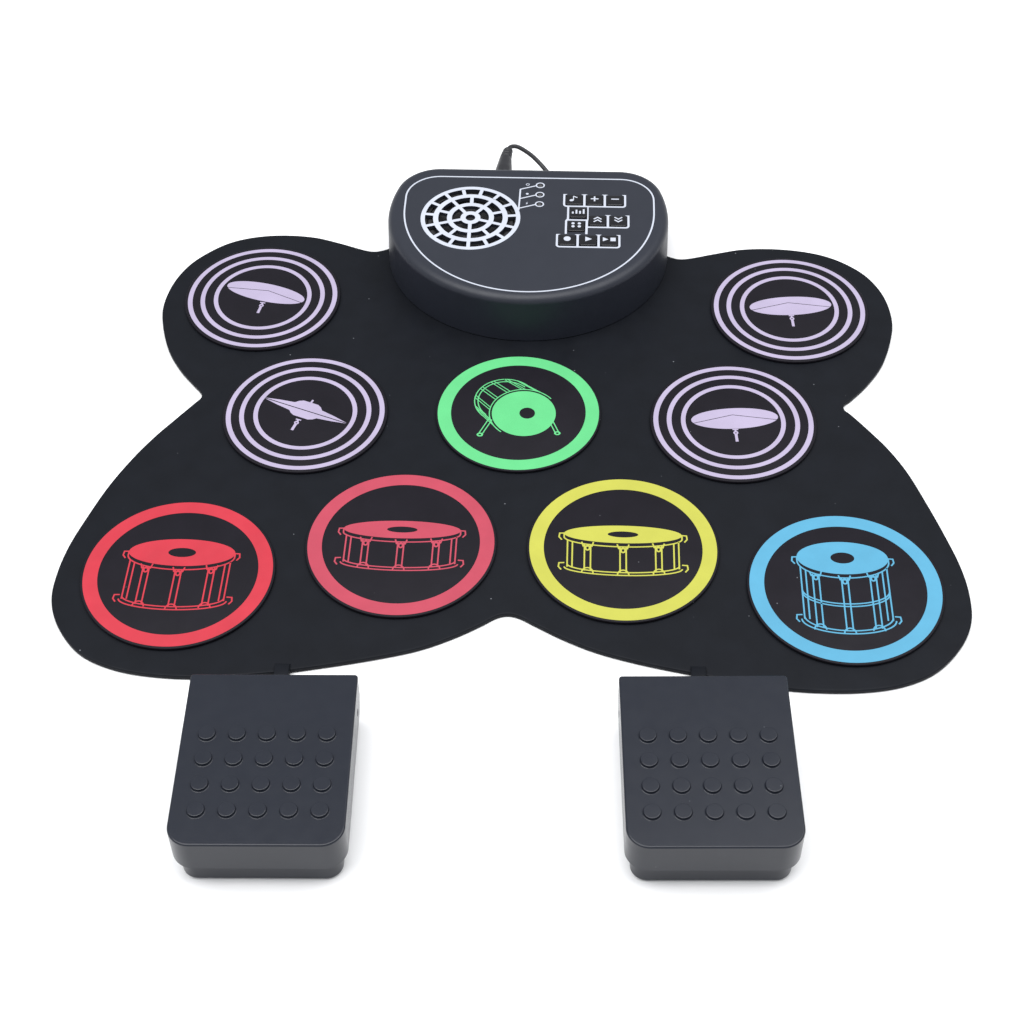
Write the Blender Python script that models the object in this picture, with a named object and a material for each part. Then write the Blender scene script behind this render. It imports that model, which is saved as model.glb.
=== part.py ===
"""Portable electronic drum kit: a silicone mat with nine pads, a sound module and two foot pedals.

Everything is in millimetres until it reaches a mesh or an object's place, where MM turns it into
metres. +Z is up, +Y points away from the player, and the origin is on the floor in the middle.
"""
import math

import bmesh
import bpy
from mathutils import Matrix, Vector

MM = 0.001
GAP = 0.3                      # running and seating gap between neighbouring pieces

# Mat: a thin laminate of a top sheet with a turned-down rim, a sensor film and a bottom sheet.
MAT_TOP = 2.6
MAT_SKIN = 1.1                 # the top sheet's thickness inside its rim
MAT_RIM = 1.6
FILM_THICK = 0.3
FILM_GAP = 0.1                 # above and below the film
# The mat's outline from the middle of its tab under the module to the front notch, the left half
# with its x turned round. The halves differ a little because a rolled mat doesn't lie quite evenly.
MAT_RIGHT_HALF = [
    (0, 221), (30, 221), (54, 220), (65, 212), (70, 201), (75.5, 193), (82.5, 187.5), (91, 186),
    (109, 191.4), (124, 195.4), (141, 196.4), (157, 194.8), (171, 190.8), (183.4, 183.4), (194, 172.4),
    (201.4, 156.4), (204, 137), (201.4, 119.6), (195, 100.6), (186, 85.4), (176.8, 74), (172, 69),
    (171.8, 65), (175.2, 61), (183.4, 49.6), (192, 36.4), (200, 20), (207.2, -1), (213.6, -22),
    (218.8, -42), (221, -60), (219.8, -77), (213.2, -92), (200.6, -106.6), (184.4, -115.4),
    (164.6, -119.6), (140, -120.2), (112.4, -117.4), (86.8, -112), (63, -106.6), (43, -100.6),
    (27, -93.4), (13.8, -85.8), (5.4, -80.8), (0, -79.4)]
MAT_LEFT_HALF = [
    (0, 221), (30, 221), (54, 220), (65, 212), (70, 201), (75.5, 193.6), (83, 188.8), (91, 188),
    (108.4, 194.6), (123.6, 199.4), (141, 200.8), (157.4, 198.8), (171.6, 193.4), (183.4, 184),
    (193, 172), (199.4, 156), (201.8, 137), (199.2, 120), (193, 101.4), (184.4, 86.2), (175.6, 75),
    (170.6, 69), (169.4, 64.4), (172.4, 59.6), (180.6, 47.4), (189, 34.6), (197.6, 19), (206.4, -1),
    (213.2, -22), (218.6, -42), (221, -60), (220.4, -77), (214.2, -92.8), (201.6, -108.2),
    (185, -116.8), (165, -120.8), (140, -121.4), (112.4, -118.4), (86.6, -113.4), (62.6, -107.8),
    (42.2, -101.8), (26.4, -94.4), (13.4, -86.4), (5.4, -80.8), (0, -79.4)]
MAT_STEPS = 2                  # straight pieces between two outline points

# Pads: loose discs that stand just clear of the mat and travel down onto it.
PAD_THICK = 1.4
PAD_TRAVEL = 0.4
PAD_UNDER = MAT_TOP + PAD_TRAVEL + 0.1
PAD_TOP = PAD_UNDER + PAD_THICK
PAD_EDGE = 0.3                 # chamfer round the upper edge
DRUM_R = 47.2
SMALL_R = 43.4
PADS = {                       # name: centre x, centre y, radius, colour
    "drum_pad_left_outer": (-161.3, -59.8, DRUM_R, "red"),
    "drum_pad_left_inner": (-54.5, -37.4, DRUM_R, "rose"),
    "drum_pad_right_inner": (54.7, -37.3, DRUM_R, "yellow"),
    "drum_pad_right_outer": (161.4, -59.2, DRUM_R, "blue"),
    "drum_pad_centre": (0.0, 56.2, SMALL_R, "green"),
    "cymbal_pad_left_front": (-112.0, 52.2, SMALL_R, "lavender"),
    "cymbal_pad_right_front": (112.5, 52.3, SMALL_R, "lavender"),
    "cymbal_pad_left_rear": (-146.4, 143.6, SMALL_R, "lavender"),
    "cymbal_pad_right_rear": (147.4, 142.3, SMALL_R, "lavender")}

# Sound module: a D-shaped case, its half-round side towards the player.
CASE_X, CASE_Y = 1.0, 188.0     # middle of the widest line across it
CASE_R = 79.7                   # half its width, and the radius of its sides behind that line
CASE_FRONT = 75.0               # from that line to the front
CASE_BACK = 230.2
CASE_CORNER_R = 26.0
CASE_SIDE_STEPS = 3
CASE_CORNER_STEPS = 7
CASE_ARC_STEPS = 26
CASE_FLOOR = MAT_TOP + GAP
CASE_TOP = 32.5
CASE_WALL = 2.0
ROOF_UNDER = CASE_TOP - 2.2
PLATE_THICK = 2.2
PLATE_TOP = CASE_FLOOR + PLATE_THICK
SCREWS = [(-45, 140), (47, 140), (-66, 209), (68, 209)]
SCREW_R, SCREW_HEAD_R, SCREW_TOP = 1.25, 2.7, 15.0
PILOT_R, RECESS_R, BOSS_R = 1.6, 3.1, 3.2

GRILLE_X, GRILLE_Y = -31.2, 182.1
SPOKE = 2.0
GRILLE_CENTRE_R = 2.7
GRILLE_CELLS = [               # inner radius, outer radius, number of cells
    (21.0, 25.6, 15),
    (13.2, 18.1, 10),
    (5.6, 10.4, 5)]

KEY_W, KEY_D = 9.4, 8.8
KEY_TOP = CASE_TOP + 0.8
KEY_TRAVEL = 0.8
KEY_EDGE = 0.5
KEYS = {
    "key_demo": (26.8, 199.2), "key_volume_up": (38.3, 199.2), "key_volume_down": (49.9, 199.2),
    "key_rhythm": (29.2, 187.6), "key_style": (28.2, 175.6),
    "key_tempo_up": (40.1, 180.8), "key_tempo_down": (51.7, 180.8),
    "key_record": (23.4, 163.4), "key_play": (35.0, 163.4), "key_start_stop": (46.6, 163.4)}
LEDS = [(7.2, 212.5), (7.2, 203.9), (7.2, 195.3)]
LIGHT_R, LIGHT_HOLE_R = 1.35, 1.7

BOARD_UNDER, BOARD_TOP = 22.4, 24.0
MEMBRANE_TOP = BOARD_TOP + 1.6
KEY_UNDER = MEMBRANE_TOP + KEY_TRAVEL + GAP
BOARD_REAR = CASE_BACK - 6.0
JACK_Z = 17.5
PEDAL_JACK_X, PHONE_JACK_X, CHARGE_X, SWITCH_X = -15.2, 14.0, 31.0, 50.0
JACK_FACE = CASE_BACK - 3.2    # rear face of the sockets, just inside the back wall
JACK_W, JACK_DEEP, JACK_LOW = 10.5, 11.5, 12.6
JACK_BORE_R, JACK_BORE_DEEP, JACK_HOLE_R = 2.1, 9.5, 3.2
SWITCH_TRAVEL = 2.0

# Foot pedals, in their own frame: x across, y from the front edge to the rear, z up.
PEDALS = {                     # name: front edge's middle, turn in degrees
    "pedal_left": ((-98.9, -229.1), 1.6),
    "pedal_right": ((91.8, -223.8), 2.0)}
PEDAL_W, PEDAL_D, PEDAL_H = 74.5, 88.7, 31.3
SKIRT_LOW = 13.3
COVER_WALL = 2.0
BASE_INSET = 2.8
BASE_FLOOR = 0.8
BASE_HIGH = 23.5
FRONT_CORNER_R = 10.0
REAR_CORNER_R = 1.5
HINGE_Y, HINGE_Z = 75.4, 20.7
PIN_R = 1.5
BUMP_R, BUMP_HIGH, BUMP_PITCH, BUMP_FIRST_ROW = 3.7, 1.5, 13.0, 17.0
SPRING_Y = 22.0
SWITCH_Y = 48.0
GLAND_Z = 5.0
GLAND_TIP = 8.0                # how far the pedal's strain relief stands out

# The mat's two moulded exits for the pedal leads: the middle of each one's front face.
FRONT_EXITS = {
    "pedal_left": (-103.8, -121.6),
    "pedal_right": (89.4, -117.2)}
EXIT_W, EXIT_H = 7.0, 4.6
EXIT_STAND = 4.7               # from the front face to the mat's edge
EXIT_LEAD_Z = 2.2

# Leads, along the points that their middle lines pass through.
LEAD_R = 1.2
REAR_LEAD_R = 1.3
PEDAL_LEAD_POINTS = 16
PLUG_START, PLUG_BODY_END, PLUG_TIP = CASE_BACK + 0.4, 246.0, 265.2
PLUG_R, PLUG_WAIST_R, PLUG_TIP_R, PLUG_PIN_R = 4.9, 3.6, 2.9, 1.7
PLUG_WAIST = 256.5             # where the plug's ribs begin
PLUG_RIBS = 3
PLUG_BEND = 1.8                # how far the flexible strain relief leans to the right at its tip
REAR_GLAND_X = 21.0
REAR_GLAND_Y = 236.4
REAR_LEAD = [
    (-13.4, 265.5, 17.5), (-12.8, 268.0, 17.45), (-11.0, 269.8, 17.2), (-8.5, 270.5, 16.6),
    (-6.0, 270.2, 15.6), (-3.3, 269.5, 14.2), (-0.2, 268.5, 12.4), (2.9, 266.9, 10.4),
    (6.0, 264.5, 8.4), (8.9, 261.6, 6.7), (11.8, 258.1, 5.1), (14.6, 254.1, 3.8),
    (17.2, 249.9, 2.9), (19.3, 245.9, 2.4), (20.6, 242.4, 2.2), (REAR_GLAND_X, 239.4, 2.2),
    (REAR_GLAND_X, REAR_GLAND_Y + GAP, 2.2)]

COLOURS = {                    # name: colour, roughness, metallic
    "silicone": ((0.018, 0.019, 0.024), 0.62, 0.0),
    "film": ((0.35, 0.24, 0.06), 0.4, 0.0),
    "red": ((0.80, 0.06, 0.09), 0.5, 0.0),
    "rose": ((0.82, 0.10, 0.16), 0.5, 0.0),
    "yellow": ((0.75, 0.74, 0.12), 0.5, 0.0),
    "blue": ((0.14, 0.56, 0.88), 0.5, 0.0),
    "green": ((0.15, 0.80, 0.26), 0.5, 0.0),
    "lavender": ((0.60, 0.49, 0.65), 0.5, 0.0),
    "case": ((0.045, 0.048, 0.058), 0.45, 0.0),
    "gloss": ((0.012, 0.012, 0.015), 0.2, 0.0),
    "white": ((0.8, 0.82, 0.88), 0.5, 0.0),
    "board": ((0.02, 0.16, 0.05), 0.45, 0.0),
    "steel": ((0.5, 0.5, 0.52), 0.3, 1.0),
    "magnet": ((0.05, 0.05, 0.055), 0.4, 0.8),
    "paper": ((0.02, 0.02, 0.02), 0.9, 0.0),
    "cell": ((0.55, 0.56, 0.6), 0.35, 0.6),
    "pedal": ((0.038, 0.04, 0.05), 0.4, 0.0)}


# ---------------------------------------------------------------- helpers

def clear_scene():
    for old in list(bpy.data.objects):
        bpy.data.objects.remove(old, do_unlink=True)


def material(key):
    found = bpy.data.materials.get(key)
    if found:
        return found
    colour, roughness, metallic = COLOURS[key]
    made = bpy.data.materials.new(key)
    made.use_nodes = True
    shader = made.node_tree.nodes["Principled BSDF"]
    shader.inputs["Base Color"].default_value = (*colour, 1.0)
    shader.inputs["Roughness"].default_value = roughness
    shader.inputs["Metallic"].default_value = metallic
    return made


def add_object(name, data, colour, origin=(0, 0, 0), parent=None):
    thing = bpy.data.objects.new(name, data)
    bpy.context.collection.objects.link(thing)
    thing.location = Vector(origin) * MM
    thing.parent = parent
    if colour:
        data.materials.append(material(colour))
    return thing


def add_empty(name, place, turn_deg=0.0):
    empty = bpy.data.objects.new(name, None)
    bpy.context.collection.objects.link(empty)
    empty.location = Vector(place) * MM
    empty.rotation_euler = (0, 0, math.radians(turn_deg))
    return empty


def loft(rings, closed=False):
    """Mesh through rings of equally many points, capped at both ends, or joined end to end."""
    shape = bmesh.new()
    rows = [[shape.verts.new(Vector(point) * MM) for point in ring] for ring in rings]
    pairs = list(zip(rows, rows[1:]))
    if closed:
        pairs.append((rows[-1], rows[0]))
    else:
        shape.faces.new(list(reversed(rows[0])))
        shape.faces.new(rows[-1])
    for low, high in pairs:
        count = len(low)
        for i in range(count):
            j = (i + 1) % count
            shape.faces.new((low[i], low[j], high[j], high[i]))
    bmesh.ops.recalc_face_normals(shape, faces=shape.faces)
    return shape


def finish_mesh(name, shape, origin=(0, 0, 0)):
    bmesh.ops.translate(shape, vec=-Vector(origin) * MM, verts=shape.verts)
    mesh = bpy.data.meshes.new(name)
    shape.to_mesh(mesh)
    shape.free()
    mesh.shade_smooth()
    mesh.set_sharp_from_angle(angle=math.radians(35))
    return mesh


def solid(name, rings, colour, origin=(0, 0, 0), parent=None, closed=False):
    return add_object(name, finish_mesh(name, loft(rings, closed), origin), colour, origin, parent)


def circle(radius, z, sides, centre=(0, 0)):
    turns = [2 * math.pi * i / sides for i in range(sides)]
    return [(centre[0] + radius * math.cos(t), centre[1] + radius * math.sin(t), z) for t in turns]


def upright(outline, z):
    return [(x, y, z) for x, y in outline]


def box_rings(low, high):
    (x0, y0, z0), (x1, y1, z1) = low, high
    outline = [(x0, y0), (x1, y0), (x1, y1), (x0, y1)]
    return [upright(outline, z0), upright(outline, z1)]


def rounded_rect(width, depth, radius, z, centre=(0, 0), steps=1):
    points = []
    corners = [(1, 1, 0), (-1, 1, 90), (-1, -1, 180), (1, -1, 270)]
    for sx, sy, start in corners:
        cx = centre[0] + sx * (width / 2 - radius)
        cy = centre[1] + sy * (depth / 2 - radius)
        for i in range(steps + 1):
            turn = math.radians(start + 90 * i / steps)
            points.append((cx + radius * math.cos(turn), cy + radius * math.sin(turn), z))
    return points


def turned_y(profile, sides, x, z):
    """Rings about an axis along Y; profile holds (radius, y)."""
    turns = [2 * math.pi * i / sides for i in range(sides)]
    return [[(x + r * math.cos(t), y, z + r * math.sin(t)) for t in turns] for r, y in profile]


def turned_z(profile, sides, centre):
    return [circle(r, z, sides, centre) for r, z in profile]


def inset(outline, depth):
    """The closed counter-clockwise outline moved inwards by depth."""
    moved = []
    count = len(outline)
    for i, (x, y) in enumerate(outline):
        before, after = outline[i - 1], outline[(i + 1) % count]
        along = Vector((after[0] - before[0], after[1] - before[1])).normalized()
        moved.append((x - along.y * depth, y + along.x * depth))
    return moved


def smooth_loop(points, steps):
    """A closed Catmull-Rom curve through the points."""
    loop = []
    count = len(points)
    for i in range(count):
        p0, p1, p2, p3 = (Vector(points[(i + k) % count]) for k in (-1, 0, 1, 2))
        for s in range(steps):
            t = s / steps
            spot = 0.5 * (2 * p1 + (p2 - p0) * t + (2 * p0 - 5 * p1 + 4 * p2 - p3) * t * t
                          + (3 * p1 - p0 - 3 * p2 + p3) * t ** 3)
            loop.append((spot.x, spot.y))
    return loop


def tool(name, shape, parent=None):
    """A hidden body that cuts or joins another object."""
    cutter = add_object(name, finish_mesh(name, shape), None, parent=parent)
    cutter.hide_render = True
    cutter.display_type = "WIRE"
    return cutter


def merge_shapes(shapes):
    joined = bmesh.new()
    for shape in shapes:
        part = bpy.data.meshes.new("piece")
        shape.to_mesh(part)
        shape.free()
        joined.from_mesh(part)
        bpy.data.meshes.remove(part)
    return joined


def boolean(target, operation, other):
    step = target.modifiers.new(operation.lower() + "_" + other.name, "BOOLEAN")
    step.operation = operation
    step.solver = "EXACT"
    step.object = other


def cylinder_shape(radius, z_low, z_high, sides, centre):
    return loft([circle(radius, z_low, sides, centre), circle(radius, z_high, sides, centre)])


def bore_shape(radius, y_low, y_high, sides, x, z):
    return loft(turned_y([(radius, y_low), (radius, y_high)], sides, x, z))


def box_shape(low, high):
    return loft(box_rings(low, high))


def smooth_path(points, step_length):
    """A smooth open curve through the points, read about every step_length."""
    ends = [Vector(p) for p in points]
    ends = [2 * ends[0] - ends[1]] + ends + [2 * ends[-1] - ends[-2]]
    path = []
    for p0, p1, p2, p3 in zip(ends, ends[1:], ends[2:], ends[3:]):
        pieces = max(1, round((p2 - p1).length / step_length))
        for s in range(pieces):
            t = s / pieces
            path.append(0.5 * (2 * p1 + (p2 - p0) * t + (2 * p0 - 5 * p1 + 4 * p2 - p3) * t * t
                               + (3 * p1 - p0 - 3 * p2 + p3) * t ** 3))
    path.append(ends[-2])
    return path


def tube(name, path, radius, colour, resolution, origin=(0, 0, 0), parent=None):
    """A round bar along the path, with filled ends."""
    data = bpy.data.curves.new(name, "CURVE")
    data.dimensions = "3D"
    data.bevel_depth = radius * MM
    data.bevel_resolution = resolution
    data.use_fill_caps = True
    data.render_resolution_u = 0
    line = data.splines.new("POLY")
    line.points.add(len(path) - 1)
    for point, spot in zip(line.points, path):
        point.co = (*((Vector(spot) - Vector(origin)) * MM), 1.0)
    return add_object(name, data, colour, origin, parent)


# ---------------------------------------------------------------- mat

def mat_outline():
    left = [(-x, y) for x, y in reversed(MAT_LEFT_HALF[1:-1])]
    loop = smooth_loop(MAT_RIGHT_HALF + left, MAT_STEPS)
    return list(reversed(loop))          # counter-clockwise


def front_exit_shapes():
    """Low blocks on the mat's front rim, each from its front face back onto the mat's top."""
    shapes = []
    for x, y in FRONT_EXITS.values():
        rim = y + EXIT_STAND + 0.6
        side = [(y, 0), (rim, 0), (rim, MAT_TOP - 0.5), (rim + 3.6, MAT_TOP - 0.5),
                (rim + 3.6, MAT_TOP + 0.4), (rim + 1.2, EXIT_H), (y + 1.4, EXIT_H), (y, EXIT_H - 1.2)]
        shapes.append(loft([[(px, py, pz) for py, pz in side] for px in (x - EXIT_W / 2, x + EXIT_W / 2)]))
    return shapes


def build_mat():
    edge = mat_outline()
    under = MAT_TOP - MAT_SKIN
    inner = inset(edge, MAT_RIM)
    sheet = solid("mat_top_sheet", [
        upright(inner, under), upright(inner, 0), upright(edge, 0), upright(edge, MAT_TOP)], "silicone")
    boolean(sheet, "UNION", tool("front_exits_tool", merge_shapes(front_exit_shapes())))
    film_edge = inset(edge, MAT_RIM + 2 * GAP)
    film_top = under - FILM_GAP
    film_under = film_top - FILM_THICK
    solid("mat_sensor_film", [upright(film_edge, film_under), upright(film_edge, film_top)], "film")
    floor_edge = inset(edge, MAT_RIM + GAP)
    solid("mat_bottom_sheet", [upright(floor_edge, 0), upright(floor_edge, film_under - 2 * FILM_GAP)],
          "silicone")


def build_pads():
    for name, (x, y, radius, colour) in PADS.items():
        profile = [(radius, PAD_UNDER), (radius, PAD_TOP - PAD_EDGE), (radius - PAD_EDGE, PAD_TOP)]
        solid(name, turned_z(profile, 32, (x, y)), colour, origin=(x, y, PAD_TOP))


# ---------------------------------------------------------------- sound module

def case_outline(depth):
    """The D-shape moved inwards by depth, counter-clockwise from its right side."""
    side_r, corner_r = CASE_R - depth, CASE_CORNER_R - depth
    back = CASE_BACK - CASE_CORNER_R - CASE_Y
    across = math.sqrt((CASE_R - CASE_CORNER_R) ** 2 - back ** 2)
    join = math.atan2(back, across)      # where a side runs into its rear corner
    right = []
    for i in range(CASE_SIDE_STEPS):
        turn = join * i / CASE_SIDE_STEPS
        right.append((side_r * math.cos(turn), side_r * math.sin(turn)))
    for i in range(CASE_CORNER_STEPS + 1):
        turn = join + (math.pi / 2 - join) * i / CASE_CORNER_STEPS
        right.append((across + corner_r * math.cos(turn), back + corner_r * math.sin(turn)))
    loop = right + [(-x, y) for x, y in reversed(right)]
    for i in range(1, CASE_ARC_STEPS):
        turn = math.pi + math.pi * i / CASE_ARC_STEPS
        loop.append((side_r * math.cos(turn), (CASE_FRONT - depth) * math.sin(turn)))
    return [(CASE_X + x, CASE_Y + y) for x, y in loop]


def cell_shape(inner_r, outer_r, start, end):
    """One opening of the grille: a piece of a ring between two spokes of constant width."""
    outline = []
    for radius, order in ((inner_r, (1, 0.5, 0)), (outer_r, (0, 0.5, 1))):
        half_spoke = math.asin(SPOKE / 2 / radius)
        first, last = start + half_spoke, end - half_spoke
        for part in order:
            turn = first + (last - first) * part
            outline.append((GRILLE_X + radius * math.cos(turn), GRILLE_Y + radius * math.sin(turn)))
    return loft([upright(outline, ROOF_UNDER - 1), upright(outline, CASE_TOP + 1)])


def grille_shapes():
    shapes = [cylinder_shape(GRILLE_CENTRE_R, ROOF_UNDER - 1, CASE_TOP + 1, 10, (GRILLE_X, GRILLE_Y))]
    for inner_r, outer_r, count in GRILLE_CELLS:
        width = 2 * math.pi / count
        for i in range(count):
            start = -math.pi / 2 + i * width
            shapes.append(cell_shape(inner_r, outer_r, start, start + width))
    return shapes


def roof_hole_shapes():
    shapes = []
    for x, y in KEYS.values():
        rings = [rounded_rect(KEY_W + 2 * GAP, KEY_D + 2 * GAP, 1.2, z, (x, y))
                 for z in (ROOF_UNDER - 1, CASE_TOP + 1)]
        shapes.append(loft(rings))
    for spot in LEDS:
        shapes.append(cylinder_shape(LIGHT_HOLE_R, ROOF_UNDER - 1, CASE_TOP + 1, 10, spot))
    return shapes


def back_wall_shapes():
    start, end = JACK_FACE - 1, CASE_BACK + 1
    return [
        bore_shape(JACK_HOLE_R, start, end, 14, PEDAL_JACK_X, JACK_Z),
        bore_shape(JACK_HOLE_R, start, end, 14, PHONE_JACK_X, JACK_Z),
        box_shape((CHARGE_X - 4.8, start, JACK_Z - 2.0), (CHARGE_X + 4.8, end, JACK_Z + 2.0)),
        box_shape((SWITCH_X - 3.6, start, JACK_Z - 1.9), (SWITCH_X + 3.6, end, JACK_Z + 1.9))]


def build_case():
    sections = [
        (4.8, ROOF_UNDER), (3.1, 28.8), (CASE_WALL, CASE_FLOOR), (0.0, CASE_FLOOR),
        (0.7, 28.2), (1.3, 30.4), (2.8, 31.9), (5.2, CASE_TOP)]
    case = solid("module_top_case", [upright(case_outline(d), z) for d, z in sections], "case")
    bosses = [cylinder_shape(BOSS_R, PLATE_TOP + GAP, ROOF_UNDER + 0.6, 12, spot) for spot in SCREWS]
    boolean(case, "UNION", tool("boss_tool", merge_shapes(bosses)))
    pilots = [cylinder_shape(PILOT_R, PLATE_TOP, SCREW_TOP + 1, 10, spot) for spot in SCREWS]
    openings = grille_shapes() + roof_hole_shapes() + back_wall_shapes() + pilots
    boolean(case, "DIFFERENCE", tool("case_openings_tool", merge_shapes(openings)))

    outline = case_outline(CASE_WALL + 2 * GAP)
    plate = solid("module_bottom_case", [upright(outline, CASE_FLOOR), upright(outline, PLATE_TOP)], "case")
    holes = [cylinder_shape(PILOT_R, CASE_FLOOR - 1, PLATE_TOP + 1, 10, spot) for spot in SCREWS]
    boolean(plate, "DIFFERENCE", tool("plate_holes_tool", merge_shapes(holes)))
    head_top = CASE_FLOOR + 1.1
    recesses = [cylinder_shape(RECESS_R, CASE_FLOOR - 1, head_top + GAP, 12, spot) for spot in SCREWS]
    boolean(plate, "DIFFERENCE", tool("plate_recess_tool", merge_shapes(recesses)))
    for number, spot in enumerate(SCREWS, 1):
        profile = [(SCREW_HEAD_R, head_top - 1), (SCREW_HEAD_R, head_top),
                   (SCREW_R, head_top), (SCREW_R, SCREW_TOP)]
        solid(f"case_screw_{number}", turned_z(profile, 10, spot), "steel")


def build_speaker():
    centre = (GRILLE_X, GRILLE_Y)
    frame = [(24.6, ROOF_UNDER - GAP), (27.4, ROOF_UNDER - GAP), (27.4, 28.0), (25.4, 28.0), (15.0, 17.4),
             (15.0, 15.8), (8.0, 15.8), (8.0, 17.0), (14.0, 17.4), (24.6, 28.6)]
    solid("speaker_frame", turned_z(frame, 24, centre), "steel", closed=True)
    magnet = [(14.0, 7.4), (14.0, 15.5), (7.5, 15.5), (7.5, 17.6)]
    solid("speaker_magnet", turned_z(magnet, 24, centre), "magnet")
    cone = [(4.0, 20.2), (6.0, 20.2), (23.6, 28.9), (23.9, 29.4), (23.0, 29.4), (6.0, 21.0), (3.0, 21.9)]
    solid("speaker_cone", turned_z(cone, 24, centre), "paper", origin=(*centre, 20.2))


def build_electronics():
    board = [(2, 154), (60, 154), (60, BOARD_REAR), (-26, BOARD_REAR), (-26, 213.5), (2, 213.5)]
    solid("main_board", [upright(board, BOARD_UNDER), upright(board, BOARD_TOP)], "board")
    cell = [rounded_rect(52, 32, r, z, (31, 174)) for r, z in ((2, 5.4), (2.6, 13.6))]
    solid("battery_cell", cell, "cell")
    sheet = [rounded_rect(41, 49, 2, z, (37.6, 180.5)) for z in (BOARD_TOP + GAP, MEMBRANE_TOP)]
    solid("keypad_membrane", sheet, "silicone")

    bar = box_rings((5.4, 193.0, BOARD_TOP + GAP), (9.0, 214.7, BOARD_TOP + 2.0))
    guide = solid("led_light_guide", bar, "white")
    posts = [cylinder_shape(LIGHT_R, BOARD_TOP + 1.0, CASE_TOP + 0.1, 10, spot) for spot in LEDS]
    boolean(guide, "UNION", tool("light_posts_tool", merge_shapes(posts)))

    under_board = BOARD_UNDER - GAP
    for name, x in (("pedal_jack", PEDAL_JACK_X), ("headphone_jack", PHONE_JACK_X)):
        low = (x - JACK_W / 2, JACK_FACE - JACK_DEEP, JACK_LOW)
        high = (x + JACK_W / 2, JACK_FACE, under_board)
        jack = solid(name, box_rings(low, high), "gloss")
        bore = bore_shape(JACK_BORE_R, JACK_FACE - JACK_BORE_DEEP, JACK_FACE + 5, 12, x, JACK_Z)
        boolean(jack, "DIFFERENCE", tool(name + "_bore_tool", bore))
    low, high = (CHARGE_X - 4.5, JACK_FACE - 9.5, 15.4), (CHARGE_X + 4.5, JACK_FACE, under_board)
    socket = solid("charge_socket", box_rings(low, high), "steel")
    boolean(socket, "DIFFERENCE", tool("socket_tool", box_shape(
        (CHARGE_X - 3.7, JACK_FACE - 7.5, JACK_Z - 1.3), (CHARGE_X + 3.7, JACK_FACE + 5, JACK_Z + 1.3))))


def build_power_switch():
    low, high = (SWITCH_X - 5, JACK_FACE - 7.5, 13.6), (SWITCH_X + 5, JACK_FACE - 1.1, BOARD_UNDER - GAP)
    solid("power_switch_body", box_rings(low, high), "steel")
    middle = (SWITCH_X - SWITCH_TRAVEL / 2, JACK_FACE, JACK_Z)
    low = (middle[0] - 1.9, JACK_FACE - 1.1 + GAP, JACK_Z - 1.5)
    high = (middle[0] + 1.9, CASE_BACK + 1.2, JACK_Z + 1.5)
    solid("power_switch_knob", box_rings(low, high), "gloss", origin=middle)


def build_keys():
    for name, (x, y) in KEYS.items():
        rings = [rounded_rect(KEY_W - 2 * d, KEY_D - 2 * d, 0.9, z, (x, y))
                 for d, z in ((0, KEY_UNDER), (0, KEY_TOP - KEY_EDGE), (KEY_EDGE, KEY_TOP))]
        solid(name, rings, "gloss", origin=(x, y, KEY_TOP))


# ---------------------------------------------------------------- foot pedals

def pedal_outline(depth):
    """The pedal's outline moved inwards by depth: round front corners, nearly square rear ones."""
    front, rear = FRONT_CORNER_R - depth, max(REAR_CORNER_R - depth / 2, 0.4)
    side, start, end = PEDAL_W / 2 - depth, depth, PEDAL_D - depth
    corners = [(side - front, start + front, front, -90, 4), (side - rear, end - rear, rear, 0, 1),
               (-side + rear, end - rear, rear, 90, 1), (-side + front, start + front, front, 180, 4)]
    points = []
    for x, y, radius, first, steps in corners:
        for i in range(steps + 1):
            turn = math.radians(first + 90 * i / steps)
            points.append((x + radius * math.cos(turn), y + radius * math.sin(turn)))
    return points


def cross_pin_shape(radius, half_length):
    turns = [2 * math.pi * i / 12 for i in range(12)]
    return loft([[(x, HINGE_Y + radius * math.cos(t), HINGE_Z + radius * math.sin(t)) for t in turns]
                 for x in (-half_length, half_length)])


def build_pedal_cover(name, frame):
    hinge = (0, HINGE_Y, HINGE_Z)
    sections = [(COVER_WALL + 1.2, PEDAL_H - 2.2), (COVER_WALL, 27.0), (COVER_WALL, SKIRT_LOW),
                (0, SKIRT_LOW), (0, PEDAL_H - 0.8), (0.8, PEDAL_H)]
    rings = [upright(pedal_outline(d), z) for d, z in sections]
    cover = solid(name + "_cover", rings, "pedal", origin=hinge, parent=frame)
    bumps = []
    for column in range(-2, 3):
        for row in range(4):
            spot = (column * BUMP_PITCH, BUMP_FIRST_ROW + row * BUMP_PITCH)
            bumps.append(loft([circle(r, z, 8, spot) for r, z in
                               ((BUMP_R, PEDAL_H - 0.6), (BUMP_R, PEDAL_H + BUMP_HIGH - 0.5),
                                (BUMP_R - 0.5, PEDAL_H + BUMP_HIGH))]))
    striker = cylinder_shape(3.0, 13.4, PEDAL_H - 1.6, 10, (0, SWITCH_Y))
    boolean(cover, "UNION", tool(name + "_bumps_tool", merge_shapes(bumps + [striker]), frame))
    half_gap = PEDAL_W / 2 - COVER_WALL
    rear = box_shape((-half_gap, PEDAL_D - COVER_WALL - 0.6, SKIRT_LOW - 1),
                     (half_gap, PEDAL_D + 1, PEDAL_H - 3.2))
    slant = loft([[(x, PEDAL_D - 9, SKIRT_LOW - 1), (x, PEDAL_D + 1, SKIRT_LOW - 1), (x, PEDAL_D + 1, 20.5)]
                  for x in (-PEDAL_W / 2 - 1, PEDAL_W / 2 + 1)])
    boolean(cover, "DIFFERENCE", tool(name + "_rear_tool", rear, frame))
    boolean(cover, "DIFFERENCE", tool(name + "_slant_tool", slant, frame))
    boolean(cover, "DIFFERENCE", tool(name + "_cover_bore", cross_pin_shape(PIN_R + GAP, 40), frame))


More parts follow.
